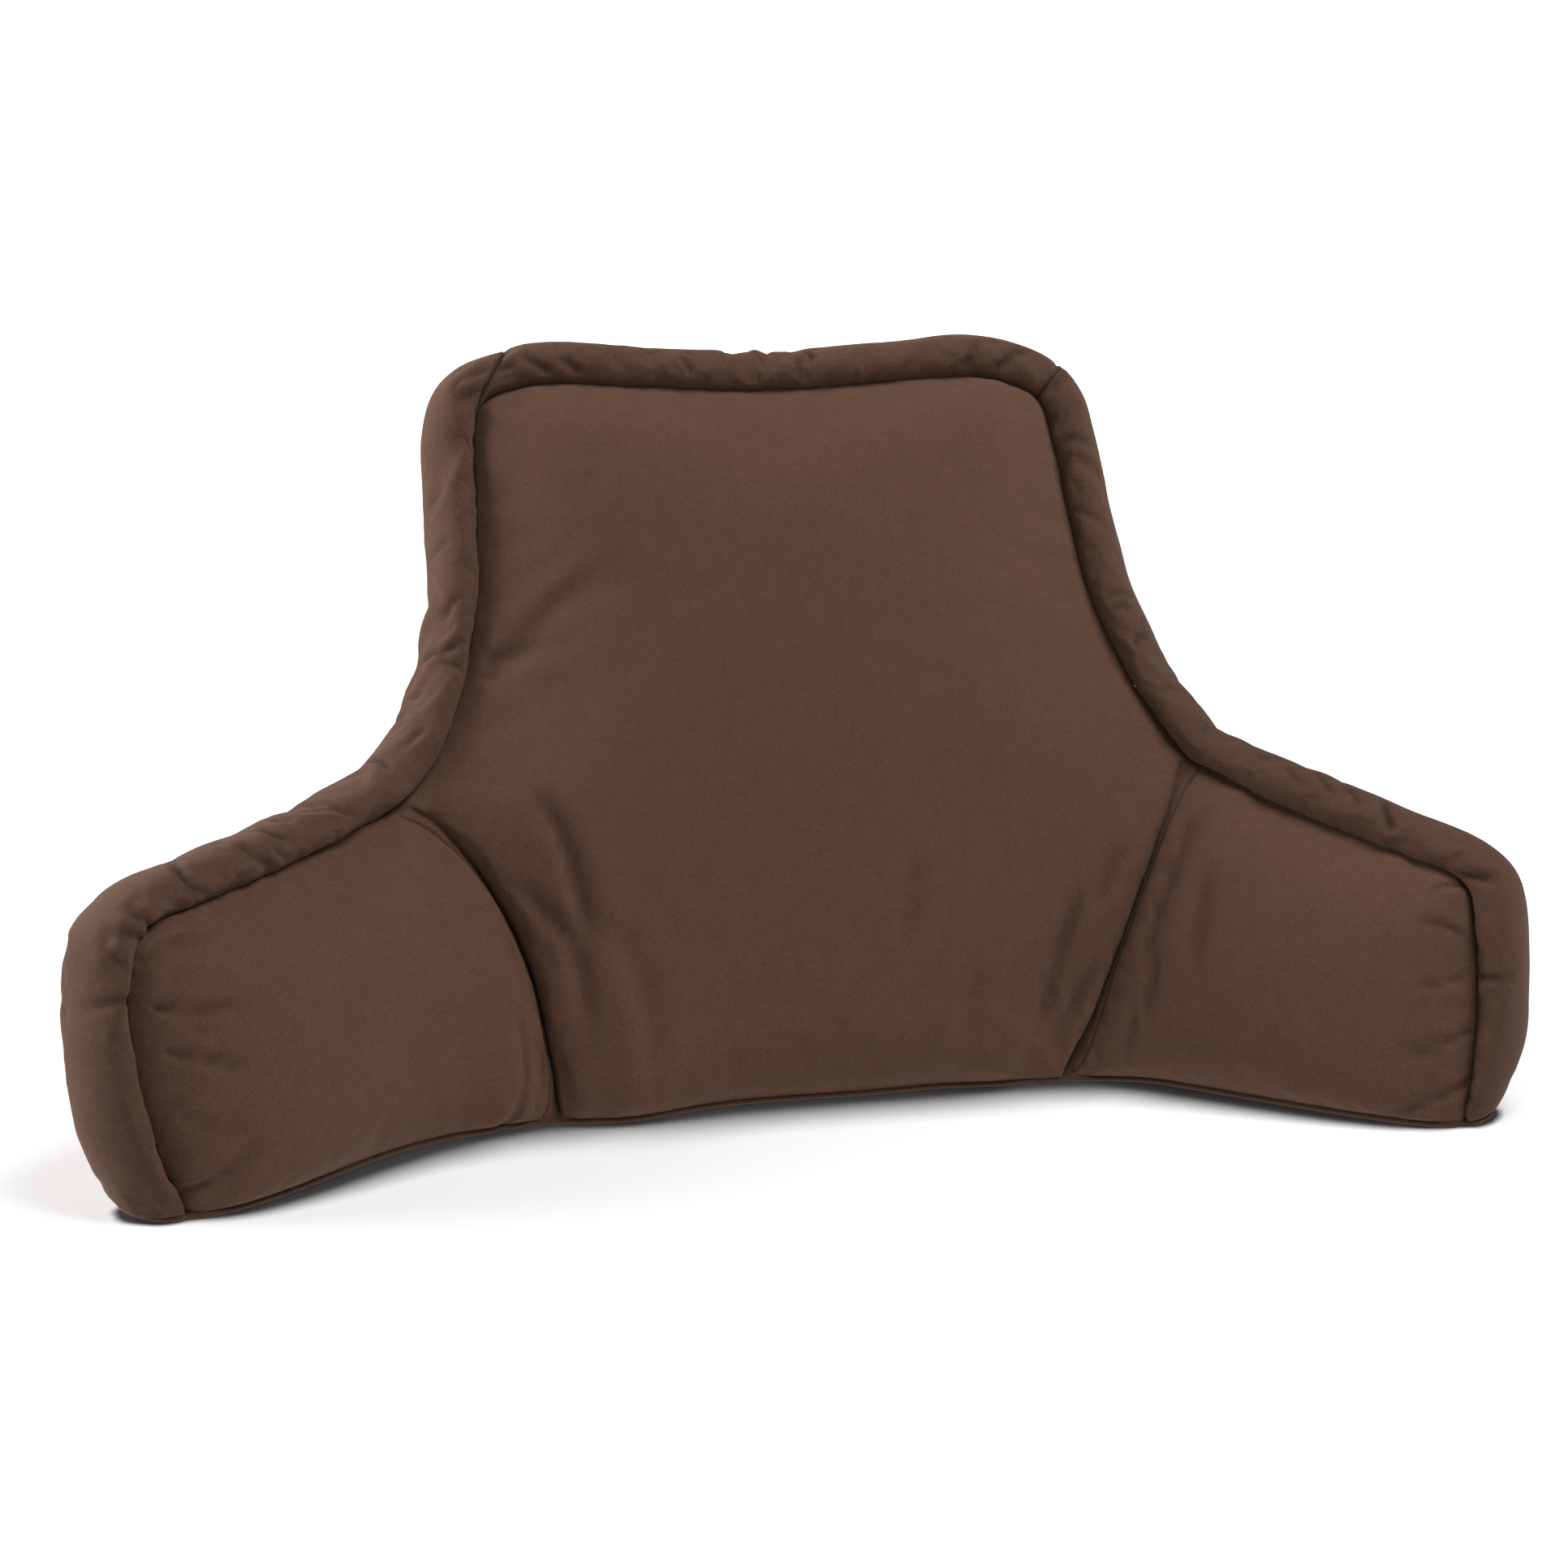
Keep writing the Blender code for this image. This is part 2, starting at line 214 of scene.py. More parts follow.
# Padding of the border along its way, as in the solids: place -1 is the left arm's foot, 0 to
# 28 are the sections above, and 29 is the right arm's foot. The padding stands out by so many
# millimetres, and its two seams lie a gap apart.
Padding = namedtuple("Padding", "place out gap")
PADDING = (
    Padding(-1, 21, 45),
    Padding(-0.7, 22, 44),
    Padding(-0.3, 18, 43),
    Padding(0, 16, 43),
    Padding(1, 25, 46),
    Padding(4, 27, 54),
    Padding(9, 28, 56),
    Padding(11, 32, 56),
    Padding(13, 31, 56),
    Padding(15, 30, 56),
    Padding(17, 36, 56),
    Padding(20, 34, 56),
    Padding(22, 27, 56),
    Padding(26, 29, 53),
    Padding(28, 23, 48),
    Padding(28.6, 26, 48),
    Padding(29, 10, 48),
)

# The fine sewn line of each arm seam, and the edge of the fold beside it, as places across and
# up the seam surface in millimetres.
LEFT_STITCHES = (
    (-256, 201), (-243, 191.5), (-229, 173), (-219, 157), (-210.5, 141), (-203.5, 125),
    (-197, 108), (-191.2, 91), (-186.2, 75), (-182.8, 56), (-180.5, 40), (-179.5, 24),
    (-181.5, 12), (-187, 4.5),
)
LEFT_FOLD_EDGE = (
    (-246, 204), (-235, 194), (-225, 176), (-216, 159), (-207.2, 141), (-198.5, 122),
    (-190.5, 101), (-184, 80), (-179, 58), (-174.5, 37), (-171.5, 15), (-170, 4.5),
)
RIGHT_STITCHES = (
    (269, 211), (265, 201), (260.8, 183), (256.2, 163), (251.2, 143), (245.5, 123), (239.5, 103),
    (232.8, 84), (226.2, 67), (219.5, 48), (212, 30), (203, 14), (196, 7), (193, 4.5),
)
RIGHT_FOLD_EDGE = (
    (258.5, 214), (258, 204), (255.5, 179), (251.5, 159), (247, 140), (241.5, 120.5),
    (235.5, 100.5), (228.5, 80), (220, 61.5), (209, 40), (197.5, 24), (188.5, 11), (185, 4.5),
)

# Soft folds, in millimetres: where they run, how wide and how deep they are. A minus depth is a
# trough with soft shoulders, skew makes one side wider, and a fold with a root starts in full
# at its first point, at a seam, and widens from there.
Fold = namedtuple("Fold", "way width depth skew root", defaults=(0.0, False))

# Folds of the front: across and height.
FOLDS = (
    Fold(((-235, 0), (-140, 0)), 60, 26),
    Fold(((-100, 0), (30, 0)), 60, 9),
    Fold(((140, 0), (210, 0)), 40, 7),
    Fold(((-178, 207), (-163, 179), (-156, 155), (-151, 131), (-146, 98)), 7.5, -9.1, 0.3),
    Fold(((-192, 146), (-161, 112), (-154, 88), (-150, 50)), 6.7, -7.4, -0.2),
    Fold(((-132, 118), (-112, 60), (-117, 15)), 9, -5, 0.3),
    Fold(((-210, 114), (-201, 74)), 5.3, -4.7),
    Fold(((-207, 74), (-210, 30), (-222, 10), (-240, 0)), 5.3, -7, -0.4),
    Fold(((-186, 52), (-198, 8)), 4.5, -5),
    Fold(((-171, 45), (-164, 0)), 4.9, -8.8),
    Fold(((229, 158), (210, 110)), 6.7, -4.4),
    Fold(((199, 127), (180, 85), (169, 53), (155, 26), (142, 2)), 6.7, -9.1, -0.3),
    Fold(((216, 78), (178, 32), (150, 2)), 6.7, -8.8),
    Fold(((276, 180), (269, 131), (260, 96), (256, 70)), 5.3, -10.4, 0.3),
    Fold(((268, 86), (263, 44)), 4.5, -8.7),
    Fold(((252, 50), (244, 16)), 4.5, -7.4),
    Fold(((296, 148), (300, 72)), 7.5, -5.7),
    Fold(((80, 158), (66, 85)), 10.5, -3.3),
    Fold(((118, 78), (106, 30)), 9, -3.6),
    Fold(((-196, 283), (-168, 319), (-128, 352)), 7.5, -5, 0, True),
    Fold(((-194, 294), (-129, 307)), 6.7, -3.3, 0, True),
    Fold(((-478, 123), (-460, 116), (-425, 111)), 3.2, -11.8, 0, True),
    Fold(((-478, 121), (-464, 107), (-448, 98)), 2.7, -4.9, 0, True),
    Fold(((-478, 126), (-466, 136), (-455, 140)), 2.5, -4.2, 0, True),
    Fold(((-477, 149), (-462, 157), (-432, 155)), 3, -8.2, 0, True),
    Fold(((-477, 97), (-465, 90), (-438, 78)), 3.2, -10, 0, True),
    Fold(((-476, 60), (-458, 50), (-440, 46)), 3.4, -4.5, 0, True),
    Fold(((-475, 18), (-456, 26), (-436, 42)), 3.6, -9.6, 0, True),
    Fold(((462, 153), (450, 151), (436, 146)), 2.1, -9.6, 0, True),
    Fold(((464, 122), (448, 126), (434, 122)), 3, -6.8, 0, True),
    Fold(((468, 94), (452, 88), (440, 90)), 3, -6.4, 0, True),
    Fold(((474, 60), (456, 50), (438, 46)), 3.4, -7.8, 0, True),
    Fold(((476, 28), (452, 14), (425, 4)), 3.7, -8.2, 0, True),
)

# Folds of the border: how far along its front seam from the left foot, and how far round.
BORDER_FOLDS = (
    Fold(((696, 26), (700, 17), (712, 6)), 3.5, -5.3),
    Fold(((681, 19), (691, 16)), 3.5, -4.5),
    Fold(((715, 20), (722, 14), (731, 6)), 4, -4.2),
    Fold(((742, 21), (756, 7)), 4, -1.5),
    Fold(((799, 29), (807, 9)), 3.2, -3.3),
    Fold(((886, 27), (881, 9)), 3.2, -3.6),
    Fold(((902, 28), (891, 18)), 2.8, -2.3),
    Fold(((1016, 31), (1010, 19), (1003, 4)), 3, -4.5),
    Fold(((1040, 36), (1033, 19), (1025, 4)), 2.6, -6.5),
    Fold(((1053, 39), (1055, 25), (1058, 10)), 2.4, -6.5),
    Fold(((717, 40), (722, 30)), 2.5, -3),
    Fold(((754, 42), (763, 31)), 2.5, -4.2),
    Fold(((778, 37), (786, 28)), 2.5, -4.2),
    Fold(((802, 34), (810, 25)), 2.5, -4.5),
    Fold(((839, 35), (843, 29)), 2.5, -3.7),
    Fold(((895, 33), (896, 23)), 2.8, -4.5),
    Fold(((919, 29), (920, 25)), 2.5, -3),
    Fold(((1026, 37), (1024, 27)), 2.5, -3.7),
    Fold(((679, 19), (673, 23), (668, 30)), 2.8, -4.8),
    Fold(((668, 30), (664, 18), (671, 8)), 3.2, -4.5),
    Fold(((598, 69), (604, 45), (613, 30)), 3.2, -2.4),
    Fold(((566, 69), (571, 41), (577, 24)), 3.2, -3.6),
    Fold(((548, 69), (532, 52)), 2.8, -2.4),
    Fold(((517, 33), (529, 26), (538, 16)), 3.5, -3.6),
    Fold(((490, 70), (496, 41), (500, 23), (509, 11)), 3.2, -4.8),
    Fold(((492, 27), (489, 10)), 3.2, -3.3),
    Fold(((454, 70), (462, 58), (467, 36)), 2.8, -3.6),
    Fold(((433, 71), (444, 66), (450, 46)), 2.8, -3),
    Fold(((419, 32), (433, 27), (443, 21)), 3.5, -3.3),
    Fold(((397, 63), (407, 55), (404, 36), (402, 26)), 3.2, -5.1),
    Fold(((317, 50), (311, 39), (317, 32)), 3.2, -4.2),
    Fold(((295, 42), (294, 29), (294, 18)), 4, -5.1),
    Fold(((272, 34), (265, 20), (279, 4)), 4, -3.6),
    Fold(((282, 19), (292, 5)), 3.2, -3.6),
    Fold(((359, 37), (354, 24), (363, 10)), 4, -2.7),
    Fold(((232, 57), (212, 27), (211, 16), (225, 3)), 3, -5.4),
    Fold(((204, 18), (214, 3)), 3, -3.6),
    Fold(((264, 55), (259, 36)), 2.8, -3),
    Fold(((364, 65), (349, 42)), 3.5, -2.7),
    Fold(((173, 4), (170, 18), (175, 29)), 3, -5, 0, True),
    Fold(((163, 5), (159, 21), (160, 33)), 3, -5, 0, True),
    Fold(((143, 8), (151, 21), (157, 30)), 3, -3),
    Fold(((128, 4), (127, 27), (126, 40)), 2.8, -4.5, 0, True),
    Fold(((144, 67), (141, 57)), 2.8, -3.3),
    Fold(((126, 64), (124, 56)), 2.8, -3.6),
    Fold(((1070, 15), (1069, 27)), 3.5, -2.4),
    Fold(((1090, 3), (1089, 16), (1094, 32)), 3.5, -4.2),
    Fold(((1203, 11), (1202, 24), (1209, 40)), 3.5, -3.9),
    Fold(((1211, 11), (1211, 22), (1218, 27)), 3.2, -3.9),
    Fold(((1241, 17), (1236, 28), (1240, 38)), 3.2, -4.2),
    Fold(((1222, 44), (1229, 28)), 2.8, -3.3),
    Fold(((1276, 15), (1277, 29), (1285, 46)), 3.5, -3),
    Fold(((1320, 20), (1316, 30), (1310, 54)), 3.5, -3.6),
    Fold(((1174, 42), (1174, 29)), 2.8, -3),
    Fold(((1269, 44), (1267, 29)), 2.8, -3),
    Fold(((1379, 35), (1392, 27), (1403, 21)), 3.5, -3.9),
    Fold(((1399, 46), (1414, 32), (1425, 26)), 3.5, -4.2),
    Fold(((1420, 41), (1432, 36), (1445, 24)), 3.2, -4.2),
    Fold(((1451, 44), (1463, 27), (1472, 15)), 4, -5.4),
    Fold(((1513, 13), (1515, 22)), 3.2, -3.3),
    Fold(((1522, 5), (1531, 16), (1532, 31)), 2.8, -6.5, 0, True),
    Fold(((1353, 41), (1365, 31)), 3.2, -3),
    Fold(((1588, 5), (1589, 19), (1588, 31)), 3, -4, 0, True),
)


def plan(across):
    """Points of the plan line, and its outward normals, which point to the sitter."""
    side = np.where(across < 0, -1.0, 1.0)
    run = np.abs(across)
    turn = np.clip((run - STRAIGHT_HALF) / BEND_RADIUS, 0.0, ARM_SPLAY)
    arm = np.maximum(run - STRAIGHT_HALF - BEND_RADIUS * ARM_SPLAY, 0.0)
    x = np.minimum(run, STRAIGHT_HALF) + BEND_RADIUS * np.sin(turn) + arm * np.cos(turn)
    y = -BEND_RADIUS * (1.0 - np.cos(turn)) - arm * np.sin(turn)
    level = np.zeros_like(run)
    feet = np.stack((side * x, y, level), axis=-1)
    return feet, np.stack((-side * np.sin(turn), -np.cos(turn), level), axis=-1)


def place(chart, forward):
    """Points that lie this far in front of the seam surface, in the frame of the solids."""
    feet, normals = plan(chart[:, 0])
    height = chart[:, 1]
    level = np.clip(height / LEVEL_RISE, 0.0, 1.0)
    points = feet + normals * (forward - LEAN * height)[:, None] + FOOTPRINT_SHIFT
    points[:, 2] += height + forward * LEAN * level * level
    return points


def smooth_between(rows, positions):
    """Values between the rows of a table, on a Catmull-Rom curve."""
    table = np.array(rows, float)
    last = len(table) - 1
    start = np.clip(np.floor(positions).astype(int), 0, last - 1)
    part = (positions - start)[:, None]
    before, here, there, after = [table[np.clip(start + step, 0, last)] for step in (-1, 0, 1, 2)]
    return 0.5 * (
        2 * here
        + (there - before) * part
        + (2 * before - 5 * here + 4 * there - after) * part**2
        + (3 * here - before - 3 * there + after) * part**3
    )


def on_panel(columns, rises):
    """Places on the front at a share of a section's climb."""
    base, top, height, bow = smooth_between(SECTIONS, columns).T / 1000
    across = base + (top - base) * rises + bow * 4 * rises * (1 - rises)
    return np.stack((across, FOOT + (height - FOOT) * rises), axis=-1)


def along(line):
    """How far each point of a line is from its start."""
    return np.linalg.norm(np.diff(line, axis=0, prepend=line[:1]), axis=1).cumsum()


def resample(line, step, *values):
    """The line with points at even steps, and its values there."""
    travel = along(line)
    count = int(round(travel[-1] / step))
    even = np.linspace(0, travel[-1], count + 1)
    columns = [np.interp(even, travel, column) for column in (*line.T, *values)]
    return np.stack(columns[: line.shape[1]], axis=-1), *columns[line.shape[1]:]


def blurred(values, spread):
    """Values along a line, each a weighted mean of those within a spread of steps."""
    reach = int(3 * spread) + 1
    weights = np.exp(-0.5 * (np.arange(-reach, reach + 1) / spread) ** 2)
    weights /= weights.sum()
    padded = np.pad(values, ((reach, reach), (0, 0)), mode="edge")
    return np.stack([np.convolve(column, weights, "valid") for column in padded.T], axis=-1)


def seam_outline():
    """The border's seam line from foot to foot, and the place of the padding along it."""
    last = len(SECTIONS) - 1.0
    climb = np.linspace(0, 1, 80)
    over = np.linspace(0, last, 1200)
    left = on_panel(np.zeros(80), climb)[:-1]
    right = on_panel(np.full(80, last), climb[::-1])[1:]
    raw = np.vstack((left, on_panel(over, np.ones(1200)), right))
    way = np.concatenate((climb[:-1] - 1, over, last + climb[1:]))
    line, way = resample(raw, SEAM_STEP, way)
    soft = blurred(line, ROUND_CORNER / SEAM_STEP)
    for corner in (0.0, last):
        middle = line[np.abs(way - corner).argmin()]
        near = np.exp(-((np.linalg.norm(line - middle, axis=1) / CORNER_REACH) ** 2))[:, None]
        line = line + (soft - line) * near
    return line, way


def in_parts(points):
    """The points in parts that are small enough to compare with a whole line at once."""
    return np.array_split(points, max(len(points) // PART_SIZE, 1))


def nearest(points, line):
    """Signed distance of points to a line, plus on its left, and how far along it they are."""
    starts, spans = line[:-1], np.diff(line, axis=0)
    lengths = np.linalg.norm(spans, axis=1)
    begins = lengths.cumsum() - lengths
    signed, travel = [], []
    for some in in_parts(points):
        away = some[:, None] - starts
        share = np.clip((away * spans).sum(-1) / lengths**2, 0, 1)
        reach = np.linalg.norm(away - share[..., None] * spans, axis=-1)
        best = reach.argmin(axis=1)
        rows = np.arange(len(some))
        across = spans[best, 0] * away[rows, best, 1] - spans[best, 1] * away[rows, best, 0]
        signed.append(np.copysign(reach[rows, best], across))
        travel.append(begins[best] + share[rows, best] * lengths[best])
    return np.concatenate(signed), np.concatenate(travel)


def soft_edge_distance(points, outline):
    """Distance to the border, rounded off where two edges are equally near."""
    middles = (outline[1:] + outline[:-1]) / 2
    lengths = np.linalg.norm(np.diff(outline, axis=0), axis=1)
    found = []
    for some in in_parts(points):
        reach = np.maximum(np.linalg.norm(some[:, None] - middles, axis=-1), NEAREST_EDGE)
        pull = (lengths / (math.pi / 2 * reach**EDGE_POWER)).sum(axis=1)
        found.append(pull ** (1 / (1 - EDGE_POWER)))
    return np.concatenate(found)


def inside(points, ring):
    """Which points lie inside a closed ring."""
    here, there = ring, np.roll(ring, -1, axis=0)
    found = []
    for some in in_parts(points):
        x, y = some[:, :1], some[:, 1:]
        spans = (here[:, 1] > y) != (there[:, 1] > y)
        rise = there[:, 1] - here[:, 1]
        rise = np.where(rise == 0, 1.0, rise)
        cross = here[:, 0] + (y - here[:, 1]) * (there[:, 0] - here[:, 0]) / rise
        found.append((spans & (x < cross)).sum(axis=1) % 2 == 1)
    return np.concatenate(found)


def flat_panel(ring, seams, row_steps, grid):
    """A panel cut flat: rows of points beside its edge and seams, and a grid elsewhere.

    Returns the points, the triangles, and for each given point its number in them.
    """
    lines = [np.vstack((ring, ring[:1])), *seams]
    offered, clearance = [], []
    for line in lines:
        way = np.gradient(line, axis=0)
        if line is lines[0]:
            way[0] = way[-1] = line[1] - line[-2]
        square = unit(np.stack((-way[:, 1], way[:, 0]), axis=-1))
        for step in row_steps:
            for side in (step, -step):
                offered.append(line + square * side)
                clearance.append(np.full(len(line), 0.93 * step))
    low, high = ring.min(axis=0), ring.max(axis=0)
    xs, ys = [np.arange(low[axis], high[axis], grid) for axis in (0, 1)]
    mesh = np.stack(np.meshgrid(xs, ys), axis=-1).reshape(-1, 2)
    offered.append(mesh)
    clearance.append(np.full(len(mesh), row_steps[-1] + 0.6 * grid))
    offered, clearance = np.vstack(offered), np.concatenate(clearance)
    reach = np.min([np.abs(nearest(offered, line)[0]) for line in lines], axis=0)
    kept = offered[(reach >= clearance) & inside(offered, ring)]
    cells = np.floor(kept / SHORTEST_SIDE).astype(int)
    kept = kept[np.sort(np.unique(cells, axis=0, return_index=True)[1])]
    points = np.vstack((ring, *seams, kept))
    edges, start = [], len(ring)
    for seam in seams:
        edges += [(start + step, start + step + 1) for step in range(len(seam) - 1)]
        start += len(seam)
    cut = geometry.delaunay_2d_cdt(
        [Vector(point) for point in points], edges, [list(range(len(ring)))], 1, 1e-7
    )
    number = {old: new for new, olds in enumerate(cut[3]) for old in olds}
    return np.array([tuple(point) for point in cut[0]]), cut[2], number


def arc(share):
    """Quarter circle: 0 at 0 with an upright start, and 1 from 1 on."""
    return np.sqrt(1 - (1 - np.clip(share, 0, 1)) ** 2)


def seam_roll(reach):
    """How the cloth stands beside a sewn edge: sunk at the seam, then a swelling roll."""
    sink = SEAM_SINK * np.exp(-((reach / SEAM_SINK_REACH) ** 2))
    return EDGE_ROLL * arc(reach / EDGE_ROLL_REACH) * np.exp(-reach / EDGE_ROLL_FADE) - sink


def foot_roll(height):
    """The swelling of the cloth above the base seam."""
    above = np.maximum(height - FOOT, 0)
    return FOOT_ROLL * arc(above / FOOT_ROLL_REACH) * np.exp(-above / FOOT_ROLL_FADE)


def in_metres(folds):
    """The folds of a table, which is in millimetres."""
    return [
        fold._replace(way=np.array(fold.way) / 1000, width=fold.width / 1000, depth=fold.depth / 1000)
        for fold in folds
    ]


def fold_relief(chart, folds):
    """Height of soft folds at each place of a chart."""
    relief = np.zeros(len(chart))
    for fold in folds:
        line = bent(fold.way)
        margin = 4 * fold.width * SHOULDER_WIDTH
        close = ((chart > line.min(axis=0) - margin) & (chart < line.max(axis=0) + margin)).all(axis=1)
        if not close.any():
            continue
        reach, travel = nearest(chart[close], line)
        share = travel / along(line)[-1]
        taper = np.where(share > 0, 1 - share**3, 1.0) if fold.root else 1 - (2 * share - 1) ** 4
        width = fold.width * (1 + fold.skew * np.tanh(reach / fold.width))
        width = width * (0.75 + 0.6 * share) if fold.root else width
        if fold.depth > 0:
            relief[close] += fold.depth * np.exp(-((reach / width) ** 2))
        else:
            soft = SHOULDER * np.exp(-((reach / (SHOULDER_WIDTH * width)) ** 2))
            relief[close] += fold.depth * taper * (np.exp(-((reach / width) ** 2)) - soft)
    return relief


def unit(vectors):
    """The vectors, each at length 1."""
    return vectors / np.linalg.norm(vectors, axis=-1, keepdims=True)


def bent(points):
    """A smooth line through a few points."""
    table = np.array(points)
    return resample(smooth_between(table, np.linspace(0, len(table) - 1, 60)), 0.003)[0]


def crease_places(chart, fold_edge, stitches, arm_side):
    """How far places are past an arm seam's fold edge and its sewn line, and how far along.

    arm_side is 1 for the right arm's seam and -1 for the left one's.
    """
    reach, travel = nearest(chart, fold_edge)
    return reach * arm_side, nearest(chart, stitches)[0] * arm_side, travel


def crease_relief(chart, crease):
    """How an arm seam draws the front in."""
    reach, past, travel = crease_places(chart, *crease)
    ease = CREASE_FOOT + (1 - CREASE_FOOT) * arc((chart[:, 1] - FOOT) / CREASE_FOOT_REACH)
    depth = CREASE_DEPTH * ease * (1 - (1 - CREASE_START) * np.exp(-((travel / CREASE_START_REACH) ** 2)))
    hanging = np.maximum(-reach, 0)
    panel = depth * (arc(hanging / CREASE_ROLL_REACH) - 1)
    panel += CREASE_ROLL * arc(hanging / CREASE_ROLL_REACH) * np.exp(-hanging / CREASE_DIP_REACH)
    across = reach / np.maximum(reach - np.minimum(past, 0), 1e-6)
    valley = -depth * (1 - (1 - CREASE_SLOPE) * np.clip(across, 0, 1))
    arm = -depth * CREASE_SLOPE * np.exp(-((past / CREASE_SLOPE_REACH) ** 2))
    relief = np.where(reach < 0, panel, np.where(past < 0, valley, arm))
    dip = CREASE_DIP * ease * np.exp(-((reach / CREASE_DIP_REACH) ** 2))
    line = STITCH_DEPTH * ease * np.exp(-((past / STITCH_WIDTH) ** 2))
    return relief - dip - line


def border_edge_wave(chart, outline):
    """Small uneven puckers of the panel where it runs into the border's seam."""
    reach, travel = nearest(chart, outline)
    reach = np.abs(reach)
    wave = np.array([
        noise.noise(Vector((at / 0.016, 0.3, 7.7))) + 0.5 * noise.noise(Vector((at / 0.007, 4.1, 1.9)))
        for at in travel
    ])
    return EDGE_WAVE * wave * np.exp(-reach / EDGE_WAVE_FADE) * arc(reach / EDGE_WAVE_HELD)


def front_forward(chart, outline, creases):
    """How far the front stands before the seam surface."""
    reach = np.abs(nearest(chart, outline)[0])
    fill = 1 - np.exp(-soft_edge_distance(chart, outline) / CROWN_REACH)
    settle = np.exp(-chart[:, 1] / BASE_REACH)
    crown = fill * FRONT_CROWN * (1 - (1 - FRONT_BASE_SHARE) * settle)
    relief = np.zeros(len(chart))
    for crease in creases:
        relief += arc(fill * CREASE_FILL) * crease_relief(chart, crease)
    wave = border_edge_wave(chart, outline)
    foot = foot_roll(chart[:, 1]) * np.clip(reach / FOOT_ROLL_START, 0, 1)
    return crown + seam_roll(reach) + foot + relief + wave


def front_folds(chart, outline):
    """How far the folds raise each place of the front."""
    relief = fold_relief(chart, in_metres(FOLDS)) * arc(np.abs(nearest(chart, outline)[0]) / FOLD_HELD_REACH)
    relief = np.where(relief < 0, relief * arc((chart[:, 1] - FOOT) / FOLD_FOOT_REACH), relief)
    return relief


def fold_shade(relief, most, depth):
    """How much painted shade the bottom of a fold gets, where little light reaches."""
    return most * np.clip(-relief / depth, 0, 1) ** 1.5


def crease_shade(chart, creases):
    """How much painted shade the arm seams get at each place: their two lines, and the valley between."""
    shade = np.zeros(len(chart))
    for crease in creases:
        reach, past, travel = crease_places(chart, *crease)
        strength = 1 - 0.5 * np.exp(-((travel / CREASE_START_REACH) ** 2))
        across = np.clip(reach / np.maximum(reach - past, 1e-6), 0, 1)
        # Painted shade: the valley under the fold, the fold's edge and the sewn line.
        valley = VALLEY_SHADE * (1 - across) * (reach > -SHADE_EDGE) * (past < 0)
        edge = EDGE_SHADE * np.exp(-((reach / SHADE_WIDTH) ** 2))
        line = STITCH_SHADE * np.exp(-((past / SHADE_WIDTH) ** 2))
        shade = np.maximum(shade, strength * np.max((valley, edge, line), axis=0))
    return shade


def back_forward(chart, outline, way):
    """How far the back stands before the seam surface, which is less than nothing."""
    reach, travel = nearest(chart, outline)
    reach = np.abs(reach)
    fill = 1 - np.exp(-soft_edge_distance(chart, outline) / CROWN_REACH)
    settle = np.exp(-chart[:, 1] / BASE_REACH)
    crown = fill * BACK_CROWN * (1 - (1 - BACK_BASE_SHARE) * settle)
    wave = border_edge_wave(chart + 0.37, outline + 0.37)
    tops = [section.top / 1000 for section in SECTIONS]
    gap = padding_at(np.interp(chart[:, 0], tops, np.arange(len(tops))))[1]
    gap += (gap_at(outline, travel, way) - gap) * np.exp(-reach / GAP_BLEND)
    return -(gap + crown + seam_roll(reach) + wave)


def padding_at(places):
    """How far the padding stands out at places on the border, and how far apart its seams are."""
    place, out, gap = np.array(PADDING).T
    return np.interp(places, place, out / 1000), np.interp(places, place, gap / 1000)


def gap_at(outline, travel, way):
    """How far the back seam runs behind the front one, so far along the border."""
    return padding_at(np.interp(travel, along(outline), way))[1]


def empty_piece(name):
    """A named object at the origin, with an empty mesh."""
    made = bpy.data.objects.new(name, bpy.data.meshes.new(name))
    bpy.context.scene.collection.objects.link(made)
    return made


def fill_piece(made, build):
    """Writes a bmesh into a piece, with its faces pointing out."""
    bmesh.ops.recalc_face_normals(build, faces=build.faces)
    build.to_mesh(made.data)
    build.free()
    made.data.shade_smooth()


def join_rows(build, row, behind):
    """Faces between two closed rows of vertices."""
    for here in range(len(row)):
        there = (here + 1) % len(row)
        build.faces.new((row[here], row[there], behind[there], behind[here]))


def keep_sharp(build, line):
    """Keeps the edges along a line of vertices sharp, and where they are when subdivided."""
    kept = build.edges.layers.float.get("crease_edge") or build.edges.layers.float.new("crease_edge")
    for here, there in zip(line[:-1], line[1:]):
        edge = build.edges.get((here, there))
        edge[kept] = 1.0
        edge.smooth = False


def set_shade(made, shade):
    """Writes the painted shade of the seams and folds into the vertices of a piece."""
    layer = made.data.attributes.new("painted_shade", "FLOAT", "POINT")
    layer.data.foreach_set("value", shade.astype(np.float32))


def set_cloth_map(made, chart):
    """A map of the cloth in metres, so that its weave follows the piece."""
    layer = made.data.uv_layers.new(name="cloth")
    vertices = np.zeros(len(made.data.loops), np.int32)
    made.data.loops.foreach_get("vertex_index", vertices)
    layer.data.foreach_set("uv", chart[vertices].astype(np.float32).ravel())


